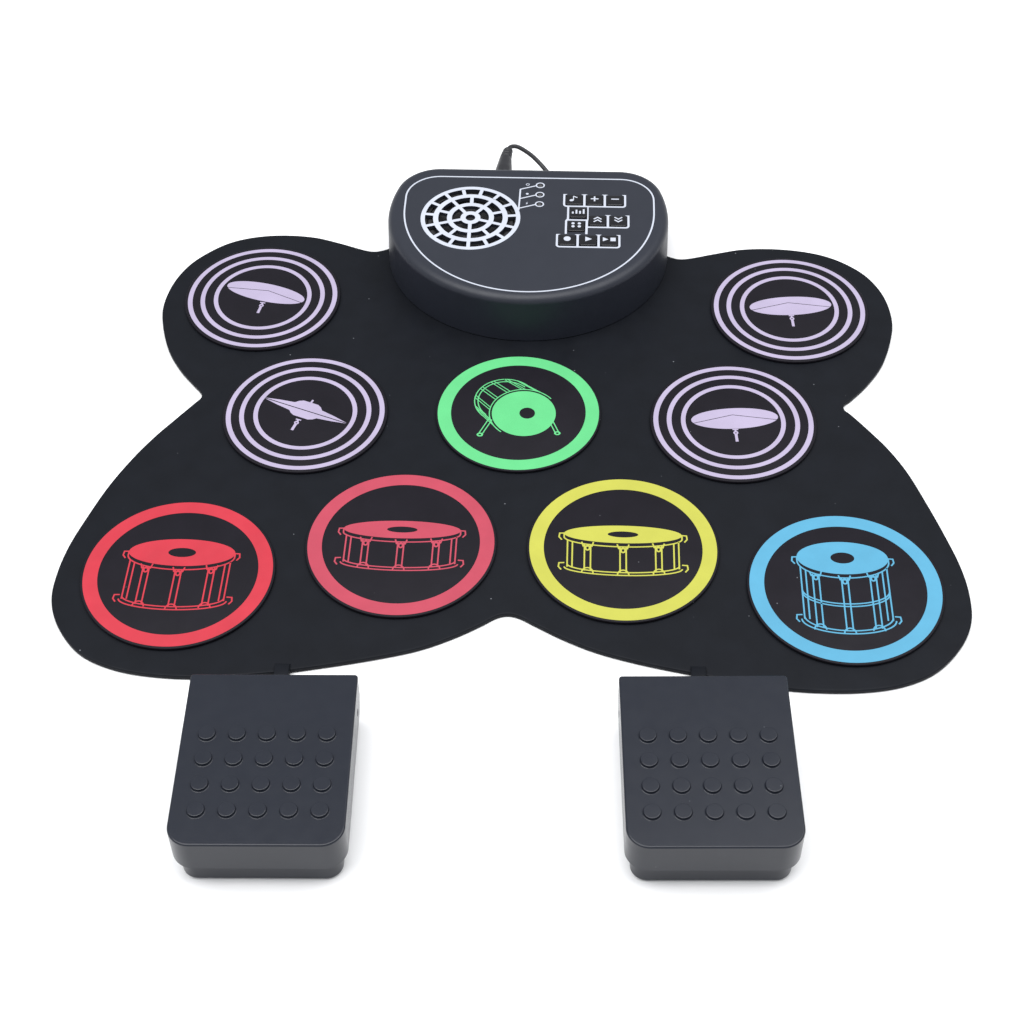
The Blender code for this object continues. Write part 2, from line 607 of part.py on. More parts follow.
def build_pedal_base(name, frame):
    wall = BASE_INSET + 2.0
    sections = [(wall, BASE_FLOOR + 1.6), (wall, BASE_HIGH), (BASE_INSET, BASE_HIGH),
                (BASE_INSET, BASE_FLOOR + 0.7), (BASE_INSET + 0.7, BASE_FLOOR)]
    base = solid(name + "_base", [upright(pedal_outline(d), z) for d, z in sections], "pedal", parent=frame)
    boolean(base, "DIFFERENCE", tool(name + "_base_bore", cross_pin_shape(PIN_R + GAP, 40), frame))
    pin = cross_pin_shape(PIN_R, PEDAL_W / 2 - 0.5)
    add_object(name + "_hinge_pin", finish_mesh(name + "_hinge_pin", pin), "steel", parent=frame)
    sole = [rounded_rect(58, 72, 5, z, (0, 44), 2) for z in (0.0, BASE_FLOOR - GAP)]
    solid(name + "_rubber_sole", sole, "silicone", parent=frame)


def build_pedal_inside(name, frame):
    floor = BASE_FLOOR + 1.6 + GAP
    wire, coil_r, turns, per_turn = 0.7, 5.0, 4, 10
    low, high = floor + wire, PEDAL_H - 2.2 - GAP - wire
    path = []
    for i in range(turns * per_turn + 1):
        part = i / (turns * per_turn)
        turn = 2 * math.pi * turns * part
        path.append((coil_r * math.cos(turn), SPRING_Y + coil_r * math.sin(turn), low + (high - low) * part))
    tube(name + "_return_spring", path, wire, "steel", 1, parent=frame)
    board = solid(name + "_switch_board", box_rings((-13, 39, floor), (13, 57, floor + 1.6)), "board",
                  parent=frame)
    body = loft([rounded_rect(w, w, 0.8, z, (0, SWITCH_Y)) for w, z in
                 ((10, floor + 1.0), (10, 8.6), (6, 8.6), (6, 11.0))])
    boolean(board, "UNION", tool(name + "_switch_tool", body, frame))


def settling_path(start, end):
    """From start to end along Y, straight at both ends, with a smooth shift sideways and down between."""
    path = []
    for i in range(PEDAL_LEAD_POINTS + 1):
        part = i / PEDAL_LEAD_POINTS
        shift = (1 - math.cos(math.pi * min(1, max(0, 1.2 * part - 0.1)))) / 2
        spot = start.lerp(end, shift)
        spot.y = start.y + (end.y - start.y) * part
        path.append(spot)
    return path


def build_pedal_lead(name, frame):
    rear = PEDAL_D - BASE_INSET
    profile = [(3.2, rear + GAP), (3.2, rear + 2.0), (2.4, rear + 2.6), (2.4, rear + 4.2),
               (1.7, rear + 4.8), (1.7, rear + GLAND_TIP)]
    solid(name + "_lead_gland", turned_y(profile, 12, 0, GLAND_Z), "silicone", parent=frame)
    place = Matrix.LocRotScale(frame.location / MM, frame.rotation_euler, None)
    start = place @ Vector((0, rear + GLAND_TIP + GAP, GLAND_Z))
    x, y = FRONT_EXITS[name]
    end = Vector((x, y - GAP, EXIT_LEAD_Z))
    tube(name + "_lead", settling_path(start, end), LEAD_R, "silicone", 2)


def build_pedal(name):
    (x, y), turn = PEDALS[name]
    frame = add_empty(name + "_frame", (x, y, 0), turn)
    build_pedal_cover(name, frame)
    build_pedal_base(name, frame)
    build_pedal_inside(name, frame)
    build_pedal_lead(name, frame)


# ---------------------------------------------------------------- rear lead

def build_rear_lead():
    profile = [(PLUG_PIN_R, JACK_FACE - 8.5), (PLUG_PIN_R, PLUG_START), (PLUG_R, PLUG_START),
               (PLUG_R, PLUG_BODY_END), (PLUG_WAIST_R, PLUG_WAIST)]
    pitch = (PLUG_TIP - PLUG_WAIST) / PLUG_RIBS
    for i in range(PLUG_RIBS):
        radius = PLUG_WAIST_R + (PLUG_TIP_R - PLUG_WAIST_R) * (i + 1) / PLUG_RIBS
        start = PLUG_WAIST + i * pitch
        profile += [(radius - 0.35, start + 0.15), (radius - 0.35, start + 0.4 * pitch),
                    (radius, start + 0.55 * pitch), (radius, start + pitch)]
    rings = turned_y(profile, 16, PEDAL_JACK_X, JACK_Z)
    length = PLUG_TIP - PLUG_BODY_END
    bent = [[(x + PLUG_BEND * max(0.0, (y - PLUG_BODY_END) / length) ** 2, y, z) for x, y, z in ring]
            for ring in rings]
    solid("pedal_plug", bent, "gloss")
    tube("pedal_circuit_lead", smooth_path(REAR_LEAD, 3.6), REAR_LEAD_R, "silicone", 2)
    tongue, heel = MAT_TOP - 0.4, 5.6
    tab_edge = MAT_RIGHT_HALF[0][1] + GAP
    side = [(tab_edge, 0), (REAR_GLAND_Y, 0), (REAR_GLAND_Y, heel - 1.4), (REAR_GLAND_Y - 1.4, heel),
            (CASE_BACK + 0.8, heel), (CASE_BACK + 0.8, tongue), (tab_edge, tongue)]
    rings = [[(x, y, z) for y, z in side] for x in (REAR_GLAND_X - 5, REAR_GLAND_X + 5)]
    solid("mat_rear_gland", rings, "silicone")


clear_scene()
build_mat()
build_pads()
build_case()
build_speaker()
build_electronics()
build_power_switch()
build_keys()
for pedal in PEDALS:
    build_pedal(pedal)
build_rear_lead()
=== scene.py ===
"""Looks for the portable electronic drum kit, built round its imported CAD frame.
"""
import math

import bmesh
import bpy
from mathutils import Matrix, Vector


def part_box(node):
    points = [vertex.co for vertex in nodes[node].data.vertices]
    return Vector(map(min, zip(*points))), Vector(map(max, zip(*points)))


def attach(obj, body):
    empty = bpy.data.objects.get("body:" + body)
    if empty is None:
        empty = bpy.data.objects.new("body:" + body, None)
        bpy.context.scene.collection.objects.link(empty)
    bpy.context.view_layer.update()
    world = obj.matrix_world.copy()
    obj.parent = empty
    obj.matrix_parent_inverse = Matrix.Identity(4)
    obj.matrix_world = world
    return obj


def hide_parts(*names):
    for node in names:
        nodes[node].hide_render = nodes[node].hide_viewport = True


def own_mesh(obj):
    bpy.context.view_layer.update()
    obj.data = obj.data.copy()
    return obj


MM = 0.001
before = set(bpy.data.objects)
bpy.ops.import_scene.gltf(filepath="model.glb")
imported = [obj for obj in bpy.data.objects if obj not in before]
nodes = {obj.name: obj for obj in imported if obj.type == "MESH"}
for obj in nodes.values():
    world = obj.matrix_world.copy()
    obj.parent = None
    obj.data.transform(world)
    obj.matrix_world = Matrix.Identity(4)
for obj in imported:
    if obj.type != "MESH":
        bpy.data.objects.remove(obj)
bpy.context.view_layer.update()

# ---- sizes shared with the CAD, in mm

MAT_TOP = 2.6
MAT_SKIN = 1.1
MAT_RIM = 1.6
MAT_RIGHT_HALF = [
    (0, 221), (30, 221), (54, 220), (65, 212), (70, 201), (75.5, 193), (82.5, 187.5), (91, 186),
    (109, 191.4), (124, 195.4), (141, 196.4), (157, 194.8), (171, 190.8), (183.4, 183.4), (194, 172.4),
    (201.4, 156.4), (204, 137), (201.4, 119.6), (195, 100.6), (186, 85.4), (176.8, 74), (172, 69),
    (171.8, 65), (175.2, 61), (183.4, 49.6), (192, 36.4), (200, 20), (207.2, -1), (213.6, -22),
    (218.8, -42), (221, -60), (219.8, -77), (213.2, -92), (200.6, -106.6), (184.4, -115.4),
    (164.6, -119.6), (140, -120.2), (112.4, -117.4), (86.8, -112), (63, -106.6), (43, -100.6),
    (27, -93.4), (13.8, -85.8), (5.4, -80.8), (0, -79.4)]
MAT_LEFT_HALF = [
    (0, 221), (30, 221), (54, 220), (65, 212), (70, 201), (75.5, 193.6), (83, 188.8), (91, 188),
    (108.4, 194.6), (123.6, 199.4), (141, 200.8), (157.4, 198.8), (171.6, 193.4), (183.4, 184),
    (193, 172), (199.4, 156), (201.8, 137), (199.2, 120), (193, 101.4), (184.4, 86.2), (175.6, 75),
    (170.6, 69), (169.4, 64.4), (172.4, 59.6), (180.6, 47.4), (189, 34.6), (197.6, 19), (206.4, -1),
    (213.2, -22), (218.6, -42), (221, -60), (220.4, -77), (214.2, -92.8), (201.6, -108.2),
    (185, -116.8), (165, -120.8), (140, -121.4), (112.4, -118.4), (86.6, -113.4), (62.6, -107.8),
    (42.2, -101.8), (26.4, -94.4), (13.4, -86.4), (5.4, -80.8), (0, -79.4)]
MAT_STEPS = 8
MAT_EDGE_IN = 0.1              # the fine outline stays this far inside the CAD's

PAD_TOP = 4.5
PAD_UNDER = 3.1
DRUM_R = 47.2
SMALL_R = 43.4
ROUND_SIDES = 160              # corners round a pad and its printed rings

CASE_X, CASE_Y = 1.0, 188.0
CASE_R = 79.7
CASE_FRONT = 75.0
CASE_BACK = 230.2
CASE_CORNER_R = 26.0
CASE_FLOOR = 2.9
CASE_TOP = 32.5
ROOF_UNDER = 30.3
GRILLE_X, GRILLE_Y = -31.2, 182.1
SPOKE = 2.0
GRILLE_CENTRE_R = 2.7
GRILLE_CELLS = [(21.0, 25.6, 15), (13.2, 18.1, 10), (5.6, 10.4, 5)]
GRILLE_PRINT_R = 28.0
KEY_W, KEY_D = 9.4, 8.8
KEY_PLAY = 0.6                 # how much wider than the key its hole is
KEY_UNDER = 26.7
KEY_TOP = 33.25
KEYS = {
    "key_demo": (26.8, 199.2), "key_volume_up": (38.3, 199.2), "key_volume_down": (49.9, 199.2),
    "key_rhythm": (29.2, 187.6), "key_style": (28.2, 175.6),
    "key_tempo_up": (40.1, 180.8), "key_tempo_down": (51.7, 180.8),
    "key_record": (23.4, 163.4), "key_play": (35.0, 163.4), "key_start_stop": (46.6, 163.4)}
LEDS = [(7.2, 212.5), (7.2, 203.9), (7.2, 195.3)]
JACK_Z = 17.5
PEDAL_JACK_X, PHONE_JACK_X, CHARGE_X, SWITCH_X = -15.2, 14.0, 31.0, 50.0
JACK_FACE = CASE_BACK - 3.2

PEDALS = {
    "pedal_left": ((-98.9, -229.1), 1.6),
    "pedal_right": ((91.8, -223.8), 2.0)}
PEDAL_W, PEDAL_D, PEDAL_H = 74.5, 88.7, 31.3
SKIRT_LOW = 13.3
COVER_WALL = 2.0
BASE_INSET = 2.8
BASE_FLOOR = 0.8
BASE_HIGH = 23.5
HINGE_Y, HINGE_Z = 75.4, 20.7
SPRING_Y = 22.0
PIN_R = 1.5
BUMP_R, BUMP_HIGH, BUMP_PITCH, BUMP_FIRST_ROW = 3.7, 1.5, 13.0, 17.0
GLAND_Z = 5.0
GLAND_TIP = 8.0

GAP = 0.3
LEAD_R = 1.2
REAR_LEAD_R = 1.3
CORD_IN = 0.01                 # the drawn cords are this much thinner than the CAD's
FRONT_EXITS = {
    "pedal_left": (-103.8, -121.6),
    "pedal_right": (89.4, -117.2)}
EXIT_W, EXIT_H = 7.0, 4.6
EXIT_STAND = 4.7
EXIT_LEAD_Z = 2.2
PLUG_START, PLUG_BODY_END, PLUG_TIP = CASE_BACK + 0.4, 246.0, 265.2
PLUG_R, PLUG_WAIST_R, PLUG_TIP_R, PLUG_PIN_R = 4.9, 3.6, 2.9, 1.7
PLUG_WAIST = 256.5
PLUG_RIBS = 3
PLUG_BEND = 1.8
REAR_GLAND_X = 21.0
REAR_GLAND_Y = 236.4
REAR_LEAD = [
    (-13.4, 265.5, 17.5), (-12.8, 268.0, 17.45), (-11.0, 269.8, 17.2), (-8.5, 270.5, 16.6),
    (-6.0, 270.2, 15.6), (-3.3, 269.5, 14.2), (-0.2, 268.5, 12.4), (2.9, 266.9, 10.4),
    (6.0, 264.5, 8.4), (8.9, 261.6, 6.7), (11.8, 258.1, 5.1), (14.6, 254.1, 3.8),
    (17.2, 249.9, 2.9), (19.3, 245.9, 2.4), (20.6, 242.4, 2.2), (REAR_GLAND_X, 239.4, 2.2),
    (REAR_GLAND_X, REAR_GLAND_Y + GAP, 2.2)]

INK = 0.04                     # how far a print stands out
INK_SUNK = 0.02                # how far it reaches below the surface it is on
INK_APART = 0.001              # between the heights of prints that may cross
INK_LEVELS = 31


def placed(name, data):
    """A new object with the given data, in the scene."""
    thing = bpy.data.objects.new(name, data)
    bpy.context.scene.collection.objects.link(thing)
    return thing


# ---- camera

CAMERA_AT = (27.85, -631.9, 679.5)
CAMERA_YAW, CAMERA_PITCH, CAMERA_ROLL = -0.046165, 0.830099, -0.011524
CAMERA_LENS = 64.385


def build_camera():
    yaw, pitch, roll = CAMERA_YAW, CAMERA_PITCH, CAMERA_ROLL
    ahead = Vector((math.sin(yaw) * math.cos(pitch), math.cos(yaw) * math.cos(pitch), -math.sin(pitch)))
    right = Vector((math.cos(yaw), -math.sin(yaw), 0))
    up = right.cross(ahead)
    rolled_right = math.cos(roll) * right + math.sin(roll) * up
    rolled_up = -math.sin(roll) * right + math.cos(roll) * up
    turn = Matrix((rolled_right, rolled_up, -ahead)).transposed()
    data = bpy.data.cameras.new("camera")
    data.sensor_width = 36.0
    data.lens = CAMERA_LENS
    data.clip_end = 20.0
    camera = placed("camera", data)
    camera.matrix_world = Matrix.Translation(Vector(CAMERA_AT) * MM) @ turn.to_4x4()
    bpy.context.scene.camera = camera


build_camera()


# ---- materials

MATERIALS = {}
COAT_ROUGHNESS = 0.15


def surface(name, colour, roughness, specular=0.5, metallic=0.0, coat=0.0, transmission=0.0,
            mottle=0.12, mottle_scale=70.0, rough_spread=0.06, grain_scale=2600.0, grain=0.12,
            swell=0.0, dust=0.0):
    """A Principled material whose colour, roughness and relief vary over the surface."""
    made = bpy.data.materials.new(name)
    made.use_nodes = True
    tree = made.node_tree
    where = tree.nodes.new("ShaderNodeTexCoord").outputs["Object"]

    def fill(node, inputs):
        """Sets each input to a value, or links it to another node's output."""
        for socket, value in inputs.items():
            if isinstance(value, bpy.types.NodeSocket):
                tree.links.new(value, node.inputs[socket])
            else:
                node.inputs[socket].default_value = value
        return node.outputs

    def add(kind, inputs):
        return fill(tree.nodes.new("ShaderNode" + kind), inputs)

    def noise(scale, detail):
        return add("TexNoise", {"Scale": scale, "Detail": detail, "Vector": where})["Fac"]

    def mapped(value, low, high, from_low=0.3, from_high=0.7):
        return add("MapRange", {"From Min": from_low, "From Max": from_high, "To Min": low, "To Max": high,
                                "Value": value})["Result"]

    def mixed(factor, first, second):
        """Two colours mixed; a colour mix has them in inputs 6 and 7 and its result in output 2."""
        node = tree.nodes.new("ShaderNodeMix")
        node.data_type = "RGBA"
        return fill(node, {0: factor, 6: first, 7: second})[2]

    dark = tuple(c * (1 - mottle) for c in colour) + (1.0,)
    light = tuple(min(1.0, c * (1 + mottle)) for c in colour) + (1.0,)
    tint = mixed(mapped(noise(mottle_scale, 4.0), 0.0, 1.0), dark, light)
    rough = mapped(noise(mottle_scale * 2.3, 3.0), roughness - rough_spread, roughness + rough_spread)
    if dust:
        specks = add("TexVoronoi", {"Scale": 130.0, "Vector": where})
        spot = mapped(specks["Distance"], 1.0, 0.0, 0.025, 0.055)
        chance = mapped(specks["Color"], 0.0, dust, 0.66, 0.74)
        both = tree.nodes.new("ShaderNodeMath")
        both.operation = "MULTIPLY"
        tint = mixed(fill(both, {0: spot, 1: chance})["Value"], tint, (0.2, 0.21, 0.23, 1.0))
    relief = {"Strength": grain, "Distance": 0.05 * MM, "Height": noise(grain_scale, 2.0)}
    if swell:
        wave = {"Strength": swell, "Distance": 1.0 * MM, "Height": noise(18.0, 1.0)}
        relief["Normal"] = add("Bump", wave)["Normal"]
    fill(tree.nodes["Principled BSDF"], {
        "Base Color": tint, "Roughness": rough, "Normal": add("Bump", relief)["Normal"],
        "Metallic": metallic, "Specular IOR Level": specular, "Coat Weight": coat,
        "Coat Roughness": COAT_ROUGHNESS, "Transmission Weight": transmission})
    MATERIALS[name] = made
    return made


def build_materials():
    surface("mat_silicone", (0.005, 0.006, 0.0088), 0.55, specular=0.12, swell=0.25, dust=0.8)
    surface("pad_silicone", (0.0068, 0.0058, 0.0092), 0.55, specular=0.14, dust=0.6)
    surface("lead_rubber", (0.016, 0.016, 0.019), 0.5, specular=0.4, grain_scale=1500)
    surface("sole_rubber", (0.02, 0.02, 0.022), 0.8, specular=0.3, grain=0.4, grain_scale=900)
    surface("case_plastic", (0.0165, 0.019, 0.0275), 0.44, specular=0.34, mottle=0.04, rough_spread=0.03,
            grain=0.2, grain_scale=3200)
    surface("pedal_plastic", (0.0118, 0.014, 0.021), 0.25, specular=0.33, mottle=0.04, rough_spread=0.02,
            grain=0.3, grain_scale=3000, dust=0.3)
    surface("key_plastic", (0.006, 0.006, 0.008), 0.3, specular=0.3, coat=0.08, mottle=0.04, grain=0.05)
    surface("plug_plastic", (0.014, 0.014, 0.017), 0.4, specular=0.45, grain=0.12)
    surface("jack_plastic", (0.012, 0.012, 0.014), 0.38, grain=0.1)
    surface("membrane", (0.02, 0.02, 0.022), 0.6)
    surface("smoked_guide", (0.05, 0.05, 0.055), 0.18, coat=0.5, transmission=0.3)
    surface("steel", (0.55, 0.55, 0.57), 0.3, metallic=1.0, mottle=0.08, grain=0.08)
    surface("painted_steel", (0.015, 0.015, 0.016), 0.45, specular=0.5, grain=0.2)
    surface("ferrite", (0.05, 0.05, 0.055), 0.5, metallic=0.3, grain=0.3, grain_scale=1200)
    surface("cone_paper", (0.018, 0.018, 0.02), 0.7, grain=0.6, grain_scale=700)
    surface("board_green", (0.02, 0.13, 0.05), 0.4, coat=0.3, mottle=0.25, mottle_scale=400)
    surface("battery_foil", (0.5, 0.51, 0.55), 0.35, metallic=0.6, grain=0.3, grain_scale=400)
    surface("sensor_film", (0.36, 0.25, 0.07), 0.35, mottle=0.3, mottle_scale=300)
    surface("print_white", (0.44, 0.465, 0.53), 0.5, specular=0.4, mottle=0.04)
    for ink, colour, mottle in (
            ("red", (0.42, 0.0225, 0.039), 0.06), ("rose", (0.37, 0.043, 0.072), 0.06),
            ("yellow", (0.385, 0.385, 0.054), 0.05), ("blue", (0.07, 0.275, 0.42), 0.05),
            ("green", (0.09, 0.44, 0.165), 0.05), ("lavender", (0.345, 0.3, 0.42), 0.05)):
        surface("print_" + ink, colour, 0.5, specular=0.35, mottle=mottle)


build_materials()


# ---- mesh helpers

def wall(shape, low, high):
    """Faces between two closed rows of equally many vertices."""
    corners = zip(low, low[1:] + low[:1], high[1:] + high[:1], high)
    return [shape.faces.new(four) for four in corners]


def loft(rings, closed=False):
    """Closed mesh through rings of equally many points, in mm."""
    shape = bmesh.new()
    rows = [[shape.verts.new(Vector(point) * MM) for point in ring] for ring in rings]
    pairs = list(zip(rows, rows[1:]))
    if closed:
        pairs.append((rows[-1], rows[0]))
    else:
        shape.faces.new(list(reversed(rows[0])))
        shape.faces.new(rows[-1])
    for low, high in pairs:
        wall(shape, low, high)
    bmesh.ops.recalc_face_normals(shape, faces=shape.faces)
    return shape


def turns(sides):
    """The angles of a round shape's corners."""
    return [2 * math.pi * i / sides for i in range(sides)]


def circle(radius, z, sides, centre=(0, 0)):
    return [(centre[0] + radius * math.cos(t), centre[1] + radius * math.sin(t), z) for t in turns(sides)]


def upright(outline, z):
    return [(x, y, z) for x, y in outline]


def rectangle(left, right, front, rear):
    return [(left, front), (right, front), (right, rear), (left, rear)]


def box_outline(name):
    """The plan of a node's box."""
    low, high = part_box(name)
    return rectangle(low.x / MM, high.x / MM, low.y / MM, high.y / MM)


def box_heights(name):
    return [corner.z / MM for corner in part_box(name)]


def turned_z(profile, sides, centre=(0, 0)):
    return [circle(radius, z, sides, centre) for radius, z in profile]


def turned_y(profile, sides, x, z):
    return [[(x + r * math.cos(t), y, z + r * math.sin(t)) for t in turns(sides)] for r, y in profile]


def prism(outline, low, high):
    return loft([upright(outline, low), upright(outline, high)])


def stacked(outline_at, profile):
    """A solid through the outline at each (depth, height) of the profile."""
    return loft([upright(outline_at(depth), z) for depth, z in profile])


def merged(shapes):
    joined = bmesh.new()
    for shape in shapes:
        part = bpy.data.meshes.new("part")
        shape.to_mesh(part)
        shape.free()
        joined.from_mesh(part)
        bpy.data.meshes.remove(part)
    return joined


def shifted(x, y):
    """A move by x and y millimetres."""
    return Matrix.Translation(Vector((x, y, 0)) * MM)


def moved(shape, matrix):
    bmesh.ops.transform(shape, matrix=matrix, verts=shape.verts)
    return shape


def combined(body, operation, other):
    """body with the other shape cut out of it or joined to it."""
    things = []
    for shape in (body, other):
        mesh = bpy.data.meshes.new("work")
        shape.to_mesh(mesh)
        shape.free()
        things.append(placed("work", mesh))
    step = things[0].modifiers.new("step", "BOOLEAN")
    step.operation = operation
    step.solver = "EXACT"
    step.object = things[1]
    settled = things[0].evaluated_get(bpy.context.evaluated_depsgraph_get())
    mesh = bpy.data.meshes.new_from_object(settled)
    result = bmesh.new()
    result.from_mesh(mesh)
    bpy.data.meshes.remove(mesh)
    for thing in things:
        old = thing.data
        bpy.data.objects.remove(thing)
        bpy.data.meshes.remove(old)
    return result


SHARP_ANGLE = 35.0             # edges bent more than this many degrees stay sharp


def piece(name, shape, materials, body, stands_for=(), weighted=False):
    """A visible piece: a mesh with its materials, riding on a CAD body."""
    mesh = bpy.data.meshes.new(name)
    shape.to_mesh(mesh)
    shape.free()
    mesh.shade_smooth()
    mesh.set_sharp_from_angle(angle=math.radians(SHARP_ANGLE))
    for key in materials:
        mesh.materials.append(MATERIALS[key])
    thing = placed(name, mesh)
    if weighted:
        fix = thing.modifiers.new("weighted", "WEIGHTED_NORMAL")
        fix.keep_sharp = True
    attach(thing, body)
    if stands_for:
        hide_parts(*stands_for)
    return thing


def solid(name, shape, material, body, *stands_for, weighted=False):
    """A piece of one material, in an object of the given name."""
    return piece(name, shape, [material], body, stands_for, weighted)


def inset(outline, depth):
    """The closed counter-clockwise outline moved inwards by depth."""
    result = []
    count = len(outline)
    for i, (x, y) in enumerate(outline):
        before, after = outline[i - 1], outline[(i + 1) % count]
        along = Vector((after[0] - before[0], after[1] - before[1])).normalized()
        result.append((x - along.y * depth, y + along.x * depth))
    return result


def spline_point(p0, p1, p2, p3, t):
    return 0.5 * (2 * p1 + (p2 - p0) * t + (2 * p0 - 5 * p1 + 4 * p2 - p3) * t * t
                  + (3 * p1 - p0 - 3 * p2 + p3) * t ** 3)


def smooth_loop(points, steps):
    loop = []
    count = len(points)
    for i in range(count):
        corners = [Vector(points[(i + k) % count]) for k in (-1, 0, 1, 2)]
        loop += [tuple(spline_point(*corners, s / steps)) for s in range(steps)]
    return loop


def smooth_path(points, step_length):
    ends = [Vector(p) for p in points]
    ends = [2 * ends[0] - ends[1]] + ends + [2 * ends[-1] - ends[-2]]
    path = []
    for corners in zip(ends, ends[1:], ends[2:], ends[3:]):
        pieces = max(1, round((corners[2] - corners[1]).length / step_length))
        path += [spline_point(*corners, s / pieces) for s in range(pieces)]
    path.append(ends[-2])
    return path


# ---- ink on flat faces

def ink_level(shape, z):
    """Prints in one shape lie a hair apart in height, so that those that cross never coincide."""
    return z - INK_APART * (len(shape.verts) % INK_LEVELS)


def ink_prism(shape, outline, z, material_index=0):
    """A filled print with the given outline."""
    z = ink_level(shape, z)
    low = [shape.verts.new(Vector((x, y, z - INK_SUNK)) * MM) for x, y in outline]
    high = [shape.verts.new(Vector((x, y, z + INK)) * MM) for x, y in outline]
    faces = [shape.faces.new(list(reversed(low))), shape.faces.new(high)]
    for face in faces + wall(shape, low, high):
        face.material_index = material_index


def ink_ring(shape, outer, inner, z):
    """A print between two closed outlines with equally many points."""
    z = ink_level(shape, z)
    rows = []
    for outline, height in ((outer, -INK_SUNK), (outer, INK), (inner, INK), (inner, -INK_SUNK)):
        rows.append([shape.verts.new(Vector((x, y, z + height)) * MM) for x, y in outline])
    for low, high in zip(rows, rows[1:] + rows[:1]):
        wall(shape, low, high)


def ink_line(shape, points, width, z, closed=False, material_index=0):
    """A printed line of one width along the points."""
    count = len(points)
    left, right = [], []
    for i in range(count):
        here = Vector(points[i])
        before = Vector(points[i - 1]) if i or closed else here
        after = Vector(points[(i + 1) % count]) if i < count - 1 or closed else here
        into = (here - before).normalized() if before != here else (after - here).normalized()
        out = (after - here).normalized() if after != here else into
        across = Vector((-(into + out).y, (into + out).x)).normalized()
        bend = max(0.5, across.dot(Vector((-into.y, into.x))))
        left.append(here + across * width / 2 / bend)
        right.append(here - across * width / 2 / bend)
    if closed:
        ink_ring(shape, right, left, z)
    else:
        ink_prism(shape, right + left[::-1], z, material_index)


def arc(centre, a, b, start, end, steps):
    """Points of an ellipse with half-axes a and b, from start to end in degrees."""
    points = []
    for i in range(steps + 1):
        turn = math.radians(start + (end - start) * i / steps)
        points.append((centre[0] + a * math.cos(turn), centre[1] + b * math.sin(turn)))
    return points


def loop_points(centre, a, b, sides=96, tilt=0.0):
    turn = math.radians(tilt)
    points = []
    for x, y in arc((0, 0), a, b, 0, 360, sides)[:-1]:
        points.append((centre[0] + x * math.cos(turn) - y * math.sin(turn),
                       centre[1] + x * math.sin(turn) + y * math.cos(turn)))
    return points


def ink_hoop(shape, centre, outer, inner, sides, z):
    """A printed ring between two ellipses, each given by its half-axes."""
    ink_ring(shape, loop_points(centre, *outer, sides), loop_points(centre, *inner, sides), z)


# ---- cords and their glands

def cord_curve(name, path, radius):
    data = bpy.data.curves.new(name, "CURVE")
    data.dimensions = "3D"
    data.bevel_depth = (radius - CORD_IN) * MM
    data.bevel_resolution = 6
    data.use_fill_caps = True
    line = data.splines.new("POLY")
    line.points.add(len(path) - 1)
    for point, spot in zip(line.points, path):
        point.co = (*(Vector(spot) * MM), 1.0)
    line.use_smooth = True
    data.materials.append(MATERIALS["lead_rubber"])
    return placed(name, data)


def lead_piece(name, path, radius, node):
    lead = cord_curve(name, path, radius)
    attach(lead, "frame")
    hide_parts(node)
    return lead


def declare_lead(name, path, radius, node):
    lead = lead_piece(name, path, radius, node)


def settling_path(start, end):
    """From start to end along Y, straight at both ends, with a smooth shift sideways and down between."""
    pieces = 48
    path = []
    for i in range(pieces + 1):
        part = i / pieces
        shift = (1 - math.cos(math.pi * min(1, max(0, 1.2 * part - 0.1)))) / 2
        spot = start.lerp(end, shift)
        spot.y = start.y + (end.y - start.y) * part
        path.append(spot)
    return path


def pedal_matrix(name):
    (x, y), turn = PEDALS[name]
    return shifted(x, y) @ Matrix.Rotation(math.radians(turn), 4, "Z")


def ribbed(start_r, end_r, start, end, ribs, groove):
    """Profile of (radius, place) with rounded ribs from start to end."""
    profile = []
    pitch = (end - start) / ribs
    for i in range(ribs):
        radius = start_r + (end_r - start_r) * i / max(1, ribs - 1)
        base = start + i * pitch
        profile += [(radius - groove, base + 0.08 * pitch), (radius - groove, base + 0.28 * pitch),
                    (radius - 0.3 * groove, base + 0.36 * pitch), (radius, base + 0.46 * pitch),
                    (radius, base + 0.82 * pitch), (radius - 0.3 * groove, base + 0.94 * pitch)]
    return profile


def build_leads():
    for name in PEDALS:
        place = pedal_matrix(name)
        rear = PEDAL_D - BASE_INSET
        start = place @ (Vector((0, rear + GLAND_TIP + GAP, GLAND_Z)) * MM) / MM
        x, y = FRONT_EXITS[name]
        end = Vector((x, y - GAP, EXIT_LEAD_Z))
        lead_piece(name + "_short_lead", settling_path(start, end), LEAD_R, name + "_lead")
        profile = ([(3.0, rear + GAP), (3.2, rear + GAP + 0.2), (3.2, rear + 1.8), (3.0, rear + 2.0)]
                   + ribbed(2.6, 2.0, rear + 2.1, rear + GLAND_TIP - 0.4, 3, 0.5)
                   + [(1.7, rear + GLAND_TIP - 0.2), (1.5, rear + GLAND_TIP)])
        gland = moved(loft(turned_y(profile, 32, 0, GLAND_Z)), place)
        solid(name + "_strain_relief", gland, "lead_rubber", "frame", name + "_lead_gland")
    declare_lead("pedal_circuit_cord", smooth_path(REAR_LEAD, 1.5), REAR_LEAD_R, "pedal_circuit_lead")


build_leads()


# ---- mat

def block(side, x, half, edge, tuck):
    """A short bar across X with the given side view and rounded ends; tuck draws a point inwards."""
    rings = []
    for away, shrink in ((-half, edge), (-half + 0.3 * edge, 0.3 * edge), (-half + edge, 0),
                         (half - edge, 0), (half - 0.3 * edge, 0.3 * edge), (half, edge)):
        rings.append([(x + away, *tuck(y, z, shrink)) for y, z in side])
    return loft(rings)


